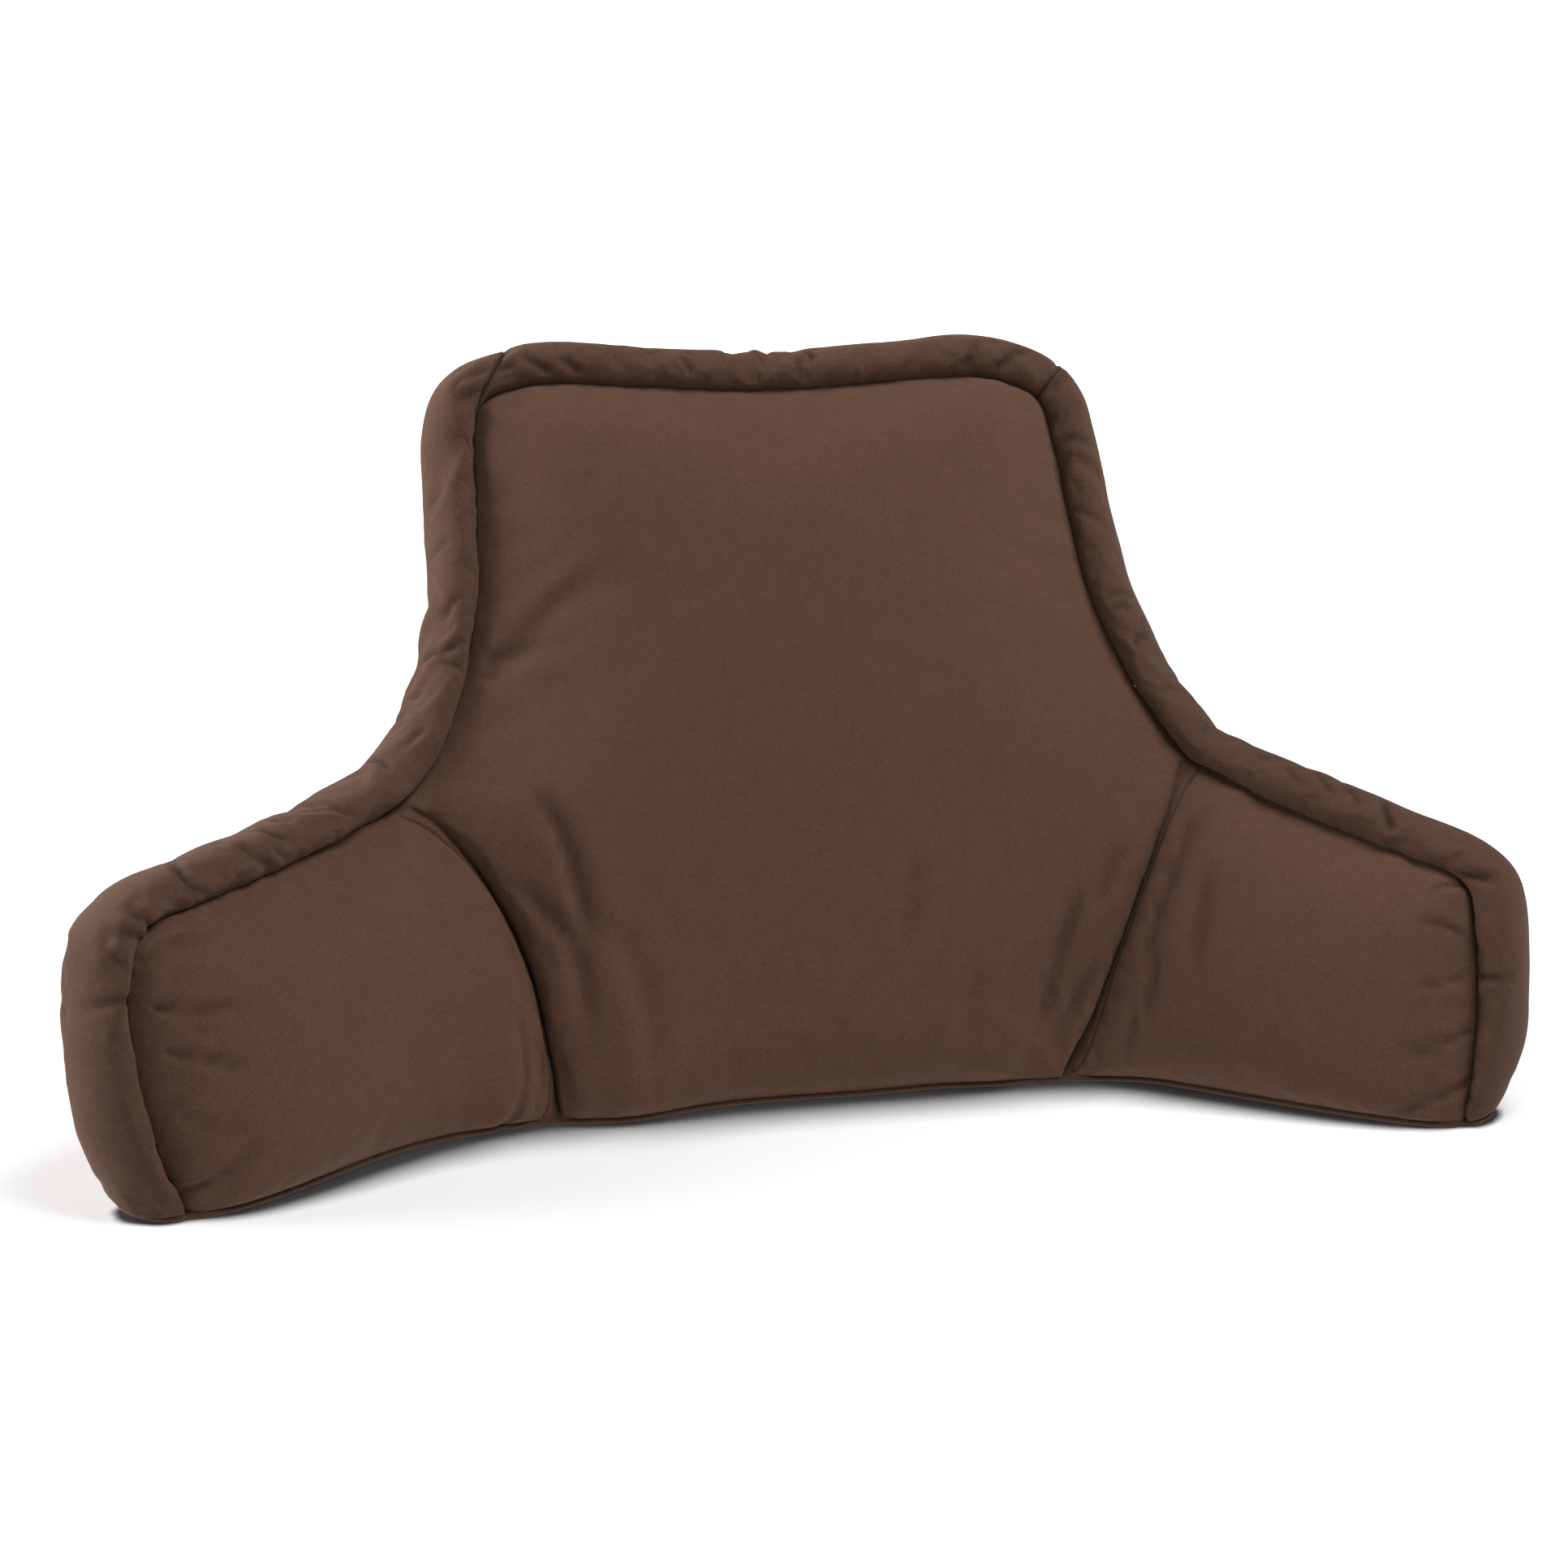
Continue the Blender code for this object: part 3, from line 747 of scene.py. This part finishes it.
def make_body(outline, way, creases):
    """The filled body: the front with its seams and the back, joined round their edge."""
    foot_right, foot_left = outline[-1, 0], outline[0, 0]
    count = int(round((foot_right - foot_left) / SEAM_STEP))
    foot = np.linspace(foot_right, foot_left, count + 1)[1:-1]
    ring = np.vstack((outline, np.stack((foot, np.full(len(foot), FOOT)), axis=-1)))
    seams = []
    for fold_edge, stitches, _ in creases:
        for line in (fold_edge, stitches):
            clear = (nearest(line, outline)[0] < -SEAM_CLEAR) & (line[:, 1] > FOOT + SEAM_CLEAR)
            seams.append(line[clear])
    front_chart, front_faces, front_number = flat_panel(ring, seams, ROW_STEPS, FRONT_GRID)
    back_chart, back_faces, back_number = flat_panel(ring, [], BACK_ROW_STEPS, BACK_GRID)
    front = place(front_chart, front_forward(front_chart, outline, creases))
    back = place(back_chart, back_forward(back_chart, outline, way))
    build = bmesh.new()
    verts = [build.verts.new(point) for point in np.vstack((front, back))]
    seam_numbers = {front_number[at] for at in range(len(ring), len(ring) + sum(map(len, seams)))}
    rim = {front_number[at] for at in range(len(ring))}
    rim |= {back_number[at] + len(front) for at in range(len(ring))}
    build.verts.index_update()
    for face in front_faces:
        build.faces.new([verts[at] for at in face])
    for face in back_faces:
        build.faces.new([verts[at + len(front)] for at in reversed(face)])
    for edge in build.edges:
        ends = {edge.verts[0].index, edge.verts[1].index}
        edge.seam = ends <= seam_numbers or ends <= rim
    bmesh.ops.join_triangles(
        build, faces=build.faces, cmp_seam=True,
        angle_face_threshold=math.pi, angle_shape_threshold=math.radians(50),
    )
    size = len(ring)
    rows = [[verts[front_number[at]] for at in range(size)]]
    gap = gap_at(outline, nearest(ring, outline)[1], way)
    for share in WALL_SHARES:
        rows.append([build.verts.new(point) for point in place(ring, -gap * share)])
    rows.append([verts[back_number[at] + len(front)] for at in range(size)])
    for row, behind in zip(rows[:-1], rows[1:]):
        join_rows(build, row, behind)
    for row in (rows[0], rows[-1]):
        keep_sharp(build, row + row[:1])
    made = empty_piece("body_cloth")
    fill_piece(made, build)
    walls = [ring + (0.0, 1.4 + share) for share in WALL_SHARES]
    set_cloth_map(made, np.vstack((front_chart, back_chart + (0.0, 0.7), *walls)))
    count = len(verts) + size * len(WALL_SHARES)
    rest = count - len(front)
    relief = front_folds(front_chart, outline)
    moves = place(front_chart, relief) - place(front_chart, np.zeros(len(front)))
    folds = np.vstack((moves, np.zeros((rest, 3))))
    # Painted shade in the arm seams and at the bottom of the front's folds.
    shade = np.maximum(crease_shade(front_chart, creases), fold_shade(relief, *PANEL_FOLD_SHADE))
    set_shade(made, np.concatenate((shade, np.zeros(rest))))
    return made, sorted(rim | seam_numbers | set(range(len(verts), count))), folds


def border_rings(outline, way):
    """A ring of points round the border's padding for each step along its seams.

    Each point has its place, how far the folds move it once the cloth has settled, and its painted shade.
    """
    out, gap = padding_at(way)
    bulge = blurred(out[:, None], BULGE_SPREAD)[:, 0]
    fronts, backs = place(outline, np.zeros(len(outline))), place(outline, -gap)
    middles, across = (fronts + backs) / 2, (fronts - backs) / 2
    step = np.gradient(middles, axis=0)
    forward = unit(across)
    outward = blurred(unit(np.cross(across, step)), BORDER_FAN / SEAM_STEP)
    outward = unit(outward - forward * (outward * forward).sum(axis=1)[:, None])
    rise = np.clip(outline[:, 1] / BORDER_FOOT_RISE, 0, 1)
    fullness = (1 + (BORDER_FULLNESS - 1) * np.sin(math.pi / 2 * rise))[:, None]
    start = -np.arccos(1 / fullness)
    even = np.linspace(0, 1, BORDER_TURNS)
    shares = (1 - BORDER_SEAM_SHARE) * even + BORDER_SEAM_SHARE * (1 - np.cos(math.pi * even)) / 2
    rings = []
    low = BORDER_FOOT_SHARE + (1 - BORDER_FOOT_SHARE) * arc((outline[:, 1] - FOOT) / BORDER_FOOT_TUCK)
    for share in shares:
        turn = start + (math.pi - 2 * start) * share
        out = (low * bulge)[:, None] / (1 - np.sin(start)) * (np.sin(turn) - np.sin(start)) + SIDE_GAP
        rings.append(middles + across * fullness * np.cos(turn) + outward * out)
    rings = np.array(rings).transpose(1, 0, 2)
    reach = np.array([along(ring) for ring in rings])
    whole = reach[:, -1:]
    sunk = np.exp(-(((whole - reach) / SEAM_SINK_REACH) ** 2)) - np.exp(-((reach / SEAM_SINK_REACH) ** 2))
    rings += forward[:, None] * (SEAM_SINK * sunk)[..., None]
    normals = unit(np.cross(np.gradient(rings, axis=0), np.gradient(rings, axis=1)))
    if (normals * (rings - middles[:, None])).sum() < 0:
        normals = -normals
    travel = np.broadcast_to(along(outline)[:, None], reach.shape)
    hold = arc(reach / HELD_REACH) * arc((whole - reach) / HELD_REACH)
    hold *= arc((outline[:, 1] - FOOT) / HELD_REACH)[:, None]
    folds, filling = border_relief(travel, reach, whole)
    moves = normals * (hold * (folds + filling))[..., None]
    # The last value of each point is painted shade at the bottom of its folds.
    return np.concatenate((rings, moves, fold_shade(hold * folds, *BORDER_FOLD_SHADE)[..., None]), axis=2)


def slide_mitres(rings, travel, cuts):
    """Slides the rings near each mitre along the border, so that its seam leans as it is sewn."""
    slid = rings.copy()
    for turn, share in enumerate(np.sin(np.linspace(0, math.pi, rings.shape[1]))):
        ways = travel.copy()
        for cut, inner, outer in cuts:
            near = np.exp(-(((travel - travel[cut]) / MITRE_SLIDE_REACH) ** 2))
            ways += (inner + (outer - inner) * share) * near
        for axis in range(rings.shape[2]):
            slid[:, turn, axis] = np.interp(ways, travel, rings[:, turn, axis])
    return slid


def border_relief(travel, reach, whole):
    """Height of the border's folds, of the small puckers at its back seam and of its filling."""
    chart = np.stack((travel, reach), axis=-1).reshape(-1, 2)
    chance = np.random.default_rng(5)
    puckers = []
    at = 0.02
    while at < travel[-1, 0] - 0.02:
        total = np.interp(at, travel[:, 0], whole[:, 0])
        lean, length = chance.uniform(-0.008, 0.008), chance.uniform(0.014, 0.036)
        way = ((at, total), (at + lean, total - length))
        puckers.append(Fold(way, chance.uniform(0.0030, 0.0048), -chance.uniform(0.0016, 0.0038), 0.0, True))
        at += chance.uniform(*PUCKER_SPACING)
    relief = fold_relief(chart, in_metres(BORDER_FOLDS) + puckers).reshape(reach.shape)
    filling = [noise.noise(Vector((place[0] / 0.045, place[1] / 0.06, 3.3))) for place in chart]
    return relief, UNEVEN_FILLING * np.array(filling).reshape(reach.shape)


def with_wall(rings):
    """The rings closed by the hidden wall between the two seams."""
    shares = 1 - np.array(WALL_SHARES)[:, None]
    return np.array([np.vstack((ring, ring[0] + (ring[-1] - ring[0]) * shares)) for ring in rings])


def make_border(name, rings, travel, mitres):
    """A padded strip of the border. mitres says which of its ends are sewn to another."""
    for at_end, mitre in zip((0, -1), mitres):
        if mitre:
            near = 1 if at_end == 0 else -2
            more = [rings[at_end] + (rings[near] - rings[at_end]) * share for share in MITRE_ROWS]
            ways = [travel[at_end] + (travel[near] - travel[at_end]) * share for share in MITRE_ROWS]
            spot = 1 if at_end == 0 else len(rings) - 1
            order = slice(None) if at_end == 0 else slice(None, None, -1)
            rings = np.insert(rings, [spot] * len(more), np.array(more[order]), axis=0)
            travel = np.insert(travel, [spot] * len(ways), ways[order])
    rings, moves, shade = rings[..., :3].copy(), rings[..., 3:6], rings[..., 6]
    for at_end, mitre in zip((0, -1), mitres):
        middle = rings[at_end].mean(axis=0)
        if mitre:
            reach = np.abs(travel - travel[at_end])
            sink = MITRE_SINK * np.exp(-((reach / MITRE_REACH) ** 2))
            away = unit(rings - rings.mean(axis=1, keepdims=True))
            hold = arc(np.linspace(0, 1, rings.shape[1]) * 3) * arc(np.linspace(1, 0, rings.shape[1]) * 3)
            rings -= away * sink[:, None, None] * hold[None, :, None]
            # Painted shade along the mitre seam, darkest where the seam sinks deepest.
            shade = np.maximum(shade, (MITRE_SHADE * sink / MITRE_SINK)[:, None])
            rings[at_end] += unit(rings[1 if at_end == 0 else -2].mean(axis=0) - middle) * MITRE_GAP
        else:
            rings[at_end, :, 2] = FOOT
    rings[:, :, 2] = np.maximum(rings[:, :, 2], FOOT)
    closed = with_wall(rings)
    size = closed.shape[1]
    sides, caps = len(closed) * size, 2
    folds = np.zeros((sides + caps, 4))
    folds[:sides].reshape(len(closed), size, 4)[:, : rings.shape[1]] = np.dstack((moves, shade))
    build = bmesh.new()
    verts = [build.verts.new(point) for point in closed.reshape(-1, 3)]
    for index in range(len(closed) - 1):
        here, there = index * size, (index + 1) * size
        for turn in range(size):
            onward = (turn + 1) % size
            corners = (here + turn, there + turn, there + onward, here + onward)
            build.faces.new([verts[at] for at in corners])
    for at_end, mitre in zip((0, -1), mitres):
        first = 0 if at_end == 0 else (len(closed) - 1) * size
        cap = build.faces.new([verts[first + turn] for turn in range(size)])
        outward = closed[at_end].mean(axis=0) - closed[1 if at_end == 0 else -2].mean(axis=0)
        bulge = unit(outward) * (0.8 * MITRE_GAP if mitre else 0.0)
        centre = cap.calc_center_median() + Vector(bulge)
        edge = verts[first:first + size]
        middle = build.verts.new(centre)
        for turn in range(size):
            build.faces.new((edge[turn], edge[(turn + 1) % size], middle))
        build.faces.remove(cap)
        keep_sharp(build, edge + edge[:1])
    for turn in (0, rings.shape[1] - 1):
        keep_sharp(build, verts[turn:sides:size])
    made = empty_piece(name)
    fill_piece(made, build)
    chart = []
    for index, ring in enumerate(closed):
        chart += [(travel[index], reach) for reach in along(ring)]
    chart += [(travel[0], 0.0), (travel[-1], 0.0)]
    set_cloth_map(made, np.array(chart))
    set_shade(made, folds[:, 3])
    width = rings.shape[1]
    held = [at for at in range(sides) if at % size == 0 or at % size >= width - 1]
    ends = list(range(size)) + list(range(sides - size, sides + caps))
    return made, sorted(set(held + ends)), folds[:, :3]


def settle(made, held, pressure, growth, most, strip=0, frames=20):
    """Blows a piece up as cloth with its seams held, each point staying near its start.

    A strip is a border with this many points in each ring: it keeps its puckers alone.
    """
    group = made.vertex_groups.new(name="sewn")
    group.add(held, 1.0, "REPLACE")
    cloth = made.modifiers.new("cloth", "CLOTH")
    cloth.settings.vertex_group_mass = group.name
    cloth.settings.quality = 6
    cloth.settings.use_pressure = True
    cloth.settings.uniform_pressure_force = pressure
    cloth.settings.shrink_min = -growth
    cloth.settings.effector_weights.gravity = 0
    cloth.collision_settings.use_collision = False
    cloth.point_cache.frame_end = frames
    before = vertex_places(made.data)
    scene = bpy.context.scene
    for step in range(1, frames + 1):
        scene.frame_set(step)
    graph = bpy.context.evaluated_depsgraph_get()
    moved = vertex_places(made.evaluated_get(graph).data) - before
    made.modifiers.remove(cloth)
    scene.frame_set(1)
    if strip:
        count = len(moved) // strip * strip
        whole = moved[:count].reshape(-1, strip * 3)
        moved[:count] -= PUCKER_SHARE * blurred(whole, PUCKER_SPREAD).reshape(-1, 3)
        moved[held] = 0.0
    length = np.linalg.norm(moved, axis=1)
    print(made.name, "moved", np.percentile(length, (50, 90, 99)).round(4))
    kept = most * np.tanh(length / most) / np.maximum(length, 1e-9)
    set_vertex_places(made.data, before + moved * kept[:, None])
    made.vertex_groups.remove(group)


def vertex_places(mesh):
    """All vertices of a mesh as an array."""
    places = np.zeros(len(mesh.vertices) * 3, np.float32)
    mesh.vertices.foreach_get("co", places)
    return places.reshape(-1, 3).astype(float)


def set_vertex_places(mesh, places):
    """Moves all vertices of a mesh."""
    mesh.vertices.foreach_set("co", places.astype(np.float32).ravel())
    mesh.update()


def finish_surface(made, folds):
    """Adds the folds, then one subdivision, applied."""
    places = vertex_places(made.data) + folds
    places[:, 2] = np.maximum(places[:, 2], FOOT)
    set_vertex_places(made.data, places)
    finer = made.modifiers.new("finer", "SUBSURF")
    finer.levels = finer.render_levels = 1
    for other in bpy.context.selected_objects:
        other.select_set(False)
    bpy.context.view_layer.objects.active = made
    made.select_set(True)
    bpy.ops.object.modifier_apply(modifier=finer.name)
    made.select_set(False)


def make_base(foot_front, foot_back):
    """The base panel: flat cloth under the body, with a soft edge that stands out a little."""
    ring = np.vstack((foot_front, foot_back[::-1]))[:, :2]
    keep = [0]
    for at in range(1, len(ring)):
        if np.linalg.norm(ring[at] - ring[keep[-1]]) > 0.002:
            keep.append(at)
    ring = ring[keep]
    way = np.roll(ring, -1, axis=0) - np.roll(ring, 1, axis=0)
    square = unit(np.stack((way[:, 1], -way[:, 0]), axis=-1))
    square = blurred(np.vstack((square[-12:], square, square[:12])), 3.0)[12:-12]
    profile = ((0.0005, 0.0), (0.0016, 0.0008), (0.0020, 0.0019), (0.0015, 0.0030), (0.0002, 0.0035))
    build = bmesh.new()
    rows = []
    for out, height in profile:
        places = ring + square * out
        rows.append([build.verts.new((*point, height)) for point in places])
    for lower, upper in zip(rows[:-1], rows[1:]):
        join_rows(build, lower, upper)
    for row in (rows[0], rows[-1]):
        flat = geometry.delaunay_2d_cdt(
            [Vector(vert.co[:2]) for vert in row], [], [list(range(len(row)))], 1, 1e-7
        )
        number = {new: olds[0] for new, olds in enumerate(flat[3]) if olds}
        for face in flat[2]:
            build.faces.new([row[number[at]] for at in face])
    made = empty_piece("base_cloth")
    fill_piece(made, build)
    set_cloth_map(made, vertex_places(made.data)[:, :2])
    return made


def node(tree, kind, **inputs):
    """A shader node with some of its inputs set."""
    made = tree.nodes.new(kind)
    for name, value in inputs.items():
        made.inputs[name.replace("_", " ")].default_value = value
    return made


def combined(tree, operation, *given):
    """What a math node makes of sockets and plain numbers."""
    made = tree.nodes.new("ShaderNodeMath")
    made.operation = operation
    for socket, value in zip(made.inputs, given):
        if isinstance(value, bpy.types.NodeSocket):
            tree.links.new(value, socket)
        else:
            socket.default_value = value
    return made.outputs[0]


def brushed_cloth(name, dark, light):
    """Matt brushed cloth: mottled nap, a fine grain and a faint weave."""
    made = bpy.data.materials.new(name)
    made.use_nodes = True
    tree = made.node_tree
    link = tree.links.new
    shader = tree.nodes["Principled BSDF"]
    where = tree.nodes.new("ShaderNodeTexCoord")
    cloud = node(tree, "ShaderNodeTexNoise", Scale=7.0, Detail=3.0, Roughness=0.5)
    nap = node(tree, "ShaderNodeTexNoise", Scale=75.0, Detail=4.0, Roughness=0.6, Distortion=0.4)
    grain = node(tree, "ShaderNodeTexNoise", Scale=520.0, Detail=3.0, Roughness=0.7)
    for texture in (cloud, nap, grain):
        link(where.outputs["Object"], texture.inputs["Vector"])
    mottle = combined(tree, "MULTIPLY", grain.outputs["Fac"], GRAIN_SHARE)
    mottle = combined(tree, "MULTIPLY_ADD", nap.outputs["Fac"], NAP_SHARE, mottle)
    mottle = combined(tree, "MULTIPLY_ADD", cloud.outputs["Fac"], CLOUD_SHARE, mottle)
    tint = tree.nodes.new("ShaderNodeValToRGB")
    tint.color_ramp.elements[0].position = 0.30
    tint.color_ramp.elements[0].color = (*dark, 1.0)
    tint.color_ramp.elements[1].position = 0.80
    tint.color_ramp.elements[1].color = (*light, 1.0)
    link(mottle, tint.inputs["Fac"])
    link(tint.outputs["Color"], shader.inputs["Base Color"])
    bump = node(tree, "ShaderNodeBump", Strength=0.35, Distance=0.0003)
    rough = combined(tree, "MULTIPLY_ADD", grain.outputs["Fac"], GRAIN_HEIGHT, weave_height(tree))
    link(rough, bump.inputs["Height"])
    soft = node(tree, "ShaderNodeBump", Strength=0.30, Distance=0.0012)
    link(nap.outputs["Fac"], soft.inputs["Height"])
    link(bump.outputs["Normal"], soft.inputs["Normal"])
    link(soft.outputs["Normal"], shader.inputs["Normal"])
    shader.inputs["Roughness"].default_value = 0.92
    shader.inputs["Specular IOR Level"].default_value = 0.18
    shader.inputs["Sheen Weight"].default_value = 0.22
    shader.inputs["Sheen Roughness"].default_value = 0.45
    shader.inputs["Sheen Tint"].default_value = (0.62, 0.46, 0.38, 1.0)
    return made


def paint_shade_in_seams(material):
    """Painted shade in the arm seams, the mitre seams and the folds, as deep as their vertices say."""
    tree = material.node_tree
    shader = tree.nodes["Principled BSDF"]
    plain = shader.inputs["Base Color"].links[0].from_socket
    seams = tree.nodes.new("ShaderNodeAttribute")
    seams.attribute_name = "painted_shade"
    # The dark colour mixed over the cloth's own colour here is painted shade.
    sewn = tree.nodes.new("ShaderNodeMixRGB")
    sewn.inputs["Color2"].default_value = (*PAINTED_SHADE_COLOUR, 1.0)
    tree.links.new(seams.outputs["Fac"], sewn.inputs["Fac"])
    tree.links.new(plain, sewn.inputs["Color1"])
    tree.links.new(sewn.outputs["Color"], shader.inputs["Base Color"])


def weave_height(tree):
    """Height of the crossing threads, on the piece's own cloth map."""
    threads = tree.nodes.new("ShaderNodeUVMap")
    threads.uv_map = "cloth"
    found = []
    for direction in ("X", "Y"):
        bands = node(tree, "ShaderNodeTexWave", Scale=310.0, Distortion=1.5, Detail=1.0, Detail_Scale=2.0)
        bands.wave_type = "BANDS"
        bands.bands_direction = direction
        tree.links.new(threads.outputs["UV"], bands.inputs["Vector"])
        found.append(bands.outputs["Fac"])
    return combined(tree, "MAXIMUM", *found)


def dress(made, material):
    """Gives a piece its cloth and lets it ride on the cushion."""
    made.data.materials.clear()
    made.data.materials.append(material)
    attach(made, "root")


def make_stage():
    """A plain pale floor with a pale wall round it, which add no light to the cushion; the floor has a
    painted contact shadow round the cushion.
    """
    bpy.ops.mesh.primitive_circle_add(vertices=96, radius=STAGE_RADIUS, fill_type="NGON")
    floor = bpy.context.object
    floor.name = "studio_floor"
    bpy.ops.mesh.primitive_cylinder_add(
        vertices=96, radius=STAGE_RADIUS, depth=STAGE_RADIUS, end_fill_type="NOTHING",
        location=(0.0, 0.0, STAGE_RADIUS / 2),
    )
    wall = bpy.context.object
    wall.name = "studio_wall"
    for made, name in ((floor, "pale_floor"), (wall, "pale_wall")):
        pale = bpy.data.materials.new(name)
        pale.use_nodes = True
        shader = pale.node_tree.nodes["Principled BSDF"]
        shader.inputs["Base Color"].default_value = (STAGE_PALE, STAGE_PALE, STAGE_PALE, 1.0)
        shader.inputs["Roughness"].default_value = 0.9
        shader.inputs["Specular IOR Level"].default_value = 0.1
        made.data.materials.append(pale)
        made.visible_diffuse = made.visible_glossy = False
        made.select_set(False)
        shader.inputs["Emission Color"].default_value = (1.0, 1.0, 1.0, 1.0)
        shader.inputs["Emission Strength"].default_value = WALL_GLOW
    wall.visible_shadow = False
    tree = floor.data.materials[0].node_tree
    where = tree.nodes.new("ShaderNodeTexCoord")
    reach = tree.nodes.new("ShaderNodeVectorMath")
    reach.operation = "LENGTH"
    glow = node(
        tree, "ShaderNodeMapRange",
        From_Min=FLOOR_GLOW_NEAR, From_Max=FLOOR_GLOW_FAR, To_Min=FLOOR_GLOW, To_Max=WALL_GLOW,
    )
    tree.links.new(where.outputs["Object"], reach.inputs[0])
    tree.links.new(reach.outputs["Value"], glow.inputs["Value"])
    # Painted contact shadow: the floor's colour and glow darken where the cushion is near, over a reach that
    # is wider at the middle than at the tips.
    wide = node(
        tree, "ShaderNodeMapRange",
        From_Min=0.20, From_Max=0.45, To_Min=CONTACT_REACH, To_Max=CONTACT_REACH_TIPS,
    )
    tree.links.new(reach.outputs["Value"], wide.inputs["Value"])
    near = tree.nodes.new("ShaderNodeAmbientOcclusion")
    near.samples = 16
    tree.links.new(wide.outputs["Result"], near.inputs["Distance"])
    shade = node(tree, "ShaderNodeMapRange", From_Min=0.52, From_Max=0.97, To_Min=0.05, To_Max=1.0)
    tree.links.new(near.outputs["AO"], shade.inputs["Value"])
    shader = tree.nodes["Principled BSDF"]
    for full, name in ((glow.outputs["Result"], "Emission Strength"), (STAGE_PALE, "Base Color")):
        dimmed = combined(tree, "MULTIPLY", shade.outputs["Result"], full)
        tree.links.new(dimmed, shader.inputs[name])


def add_light(name, location, aim, power, size):
    """A soft square light that points at a place."""
    data = bpy.data.lights.new(name, "AREA")
    data.energy = power
    data.size = size
    made = bpy.data.objects.new(name, data)
    made.location = location
    made.rotation_euler = (Vector(aim) - Vector(location)).to_track_quat("-Z", "Y").to_euler()
    bpy.context.scene.collection.objects.link(made)


def make_light():
    """Plain soft studio light."""
    world = bpy.data.worlds.new("studio")
    world.use_nodes = True
    tree = world.node_tree
    direction = tree.nodes.new("ShaderNodeTexCoord")
    parts = tree.nodes.new("ShaderNodeSeparateXYZ")
    rise = node(tree, "ShaderNodeMapRange", From_Min=0.0, From_Max=SKY_REACH, To_Min=SKY_LOW, To_Max=0.0)
    tree.links.new(direction.outputs["Generated"], parts.inputs[0])
    tree.links.new(parts.outputs["Z"], rise.inputs["Value"])
    tree.links.new(rise.outputs["Result"], tree.nodes["Background"].inputs["Strength"])
    tree.nodes["Background"].inputs["Color"].default_value = (1.0, 1.0, 1.0, 1.0)
    bpy.context.scene.world = world
    bpy.context.scene.view_settings.view_transform = "Standard"
    middle = (0.0, -0.05, 0.22)
    add_light("over", (0.9, -0.7, 2.4), middle, 53.0, 1.6)
    add_light("left_side", (-2.2, 0.5, 0.8), middle, 61.0, 1.4)


def make_camera():
    """The camera at the photo's place."""
    data = bpy.data.cameras.new("photo_view")
    data.sensor_width = 36.0
    data.lens = 54.04
    made = bpy.data.objects.new("photo_view", data)
    made.location = (-0.34397, -1.53052, 0.48)
    made.rotation_euler = (math.radians(80.3045), 0.0, math.radians(-12.3929))
    bpy.context.scene.collection.objects.link(made)
    bpy.context.scene.camera = made


for shown in bpy.context.selected_objects:
    shown.select_set(False)

make_camera()
make_light()
make_stage()

outline, way = seam_outline()
creases = [
    (bent(np.array(fold_edge) / 1000), bent(np.array(stitches) / 1000), arm_side)
    for fold_edge, stitches, arm_side in (
        (LEFT_FOLD_EDGE, LEFT_STITCHES, -1), (RIGHT_FOLD_EDGE, RIGHT_STITCHES, 1),
    )
]

body, body_held, body_folds = make_body(outline, way, creases)
rings = border_rings(outline, way)
travel = along(outline)
left_cut = np.abs(way - LEFT_CORNER).argmin()
right_cut = np.abs(way - RIGHT_CORNER).argmin()
rings = slide_mitres(rings, travel, ((left_cut, *LEFT_MITRE_SLIDE), (right_cut, *RIGHT_MITRE_SLIDE)))
strips = (
    ("border_left_cloth", slice(0, left_cut + 1), (False, True), "border_left"),
    ("border_top_cloth", slice(left_cut, right_cut + 1), (True, True), "border_top"),
    ("border_right_cloth", slice(right_cut, len(rings)), (True, False), "border_right"),
)
panel_cloth = brushed_cloth("panel_brown", (0.086, 0.0425, 0.0258), (0.150, 0.0775, 0.0495))
# The border's and the base's browns are darker copies of the panel's brown: painted shade.
border_cloth = brushed_cloth("border_brown", (0.0722, 0.0353, 0.0215), (0.127, 0.0659, 0.0416))
base_cloth = brushed_cloth("base_brown", (0.056, 0.0276, 0.0168), (0.096, 0.050, 0.031))

# Painted shade in the seams and folds of the front and of the border.
paint_shade_in_seams(panel_cloth)
paint_shade_in_seams(border_cloth)

settle(body, body_held, 1.0, 0.010, 0.005)
finish_surface(body, body_folds)
dress(body, panel_cloth)
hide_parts("cushion_body")
for name, span, mitres, cad_node in strips:
    strip, strip_held, strip_folds = make_border(name, rings[span], travel[span], mitres)
    settle(strip, strip_held, 3.0, 0.05, 0.004, strip=BORDER_TURNS + len(WALL_SHARES))
    finish_surface(strip, strip_folds)
    dress(strip, border_cloth)
    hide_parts(cad_node)

foot_across = np.linspace(outline[0, 0], outline[-1, 0], 240)
foot_chart = np.stack((foot_across, np.full(240, FOOT)), axis=-1)
foot_forward = front_forward(foot_chart, outline, creases) + front_folds(foot_chart, outline)
foot_front = place(foot_chart, foot_forward)
foot_back = place(foot_chart, back_forward(foot_chart, outline, way))
tip_rows = [rings[0, ::-1, :3], rings[-1, :, :3]]
base = make_base(np.vstack((tip_rows[0], foot_front, tip_rows[1])), foot_back)
dress(base, base_cloth)
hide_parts("base_panel")
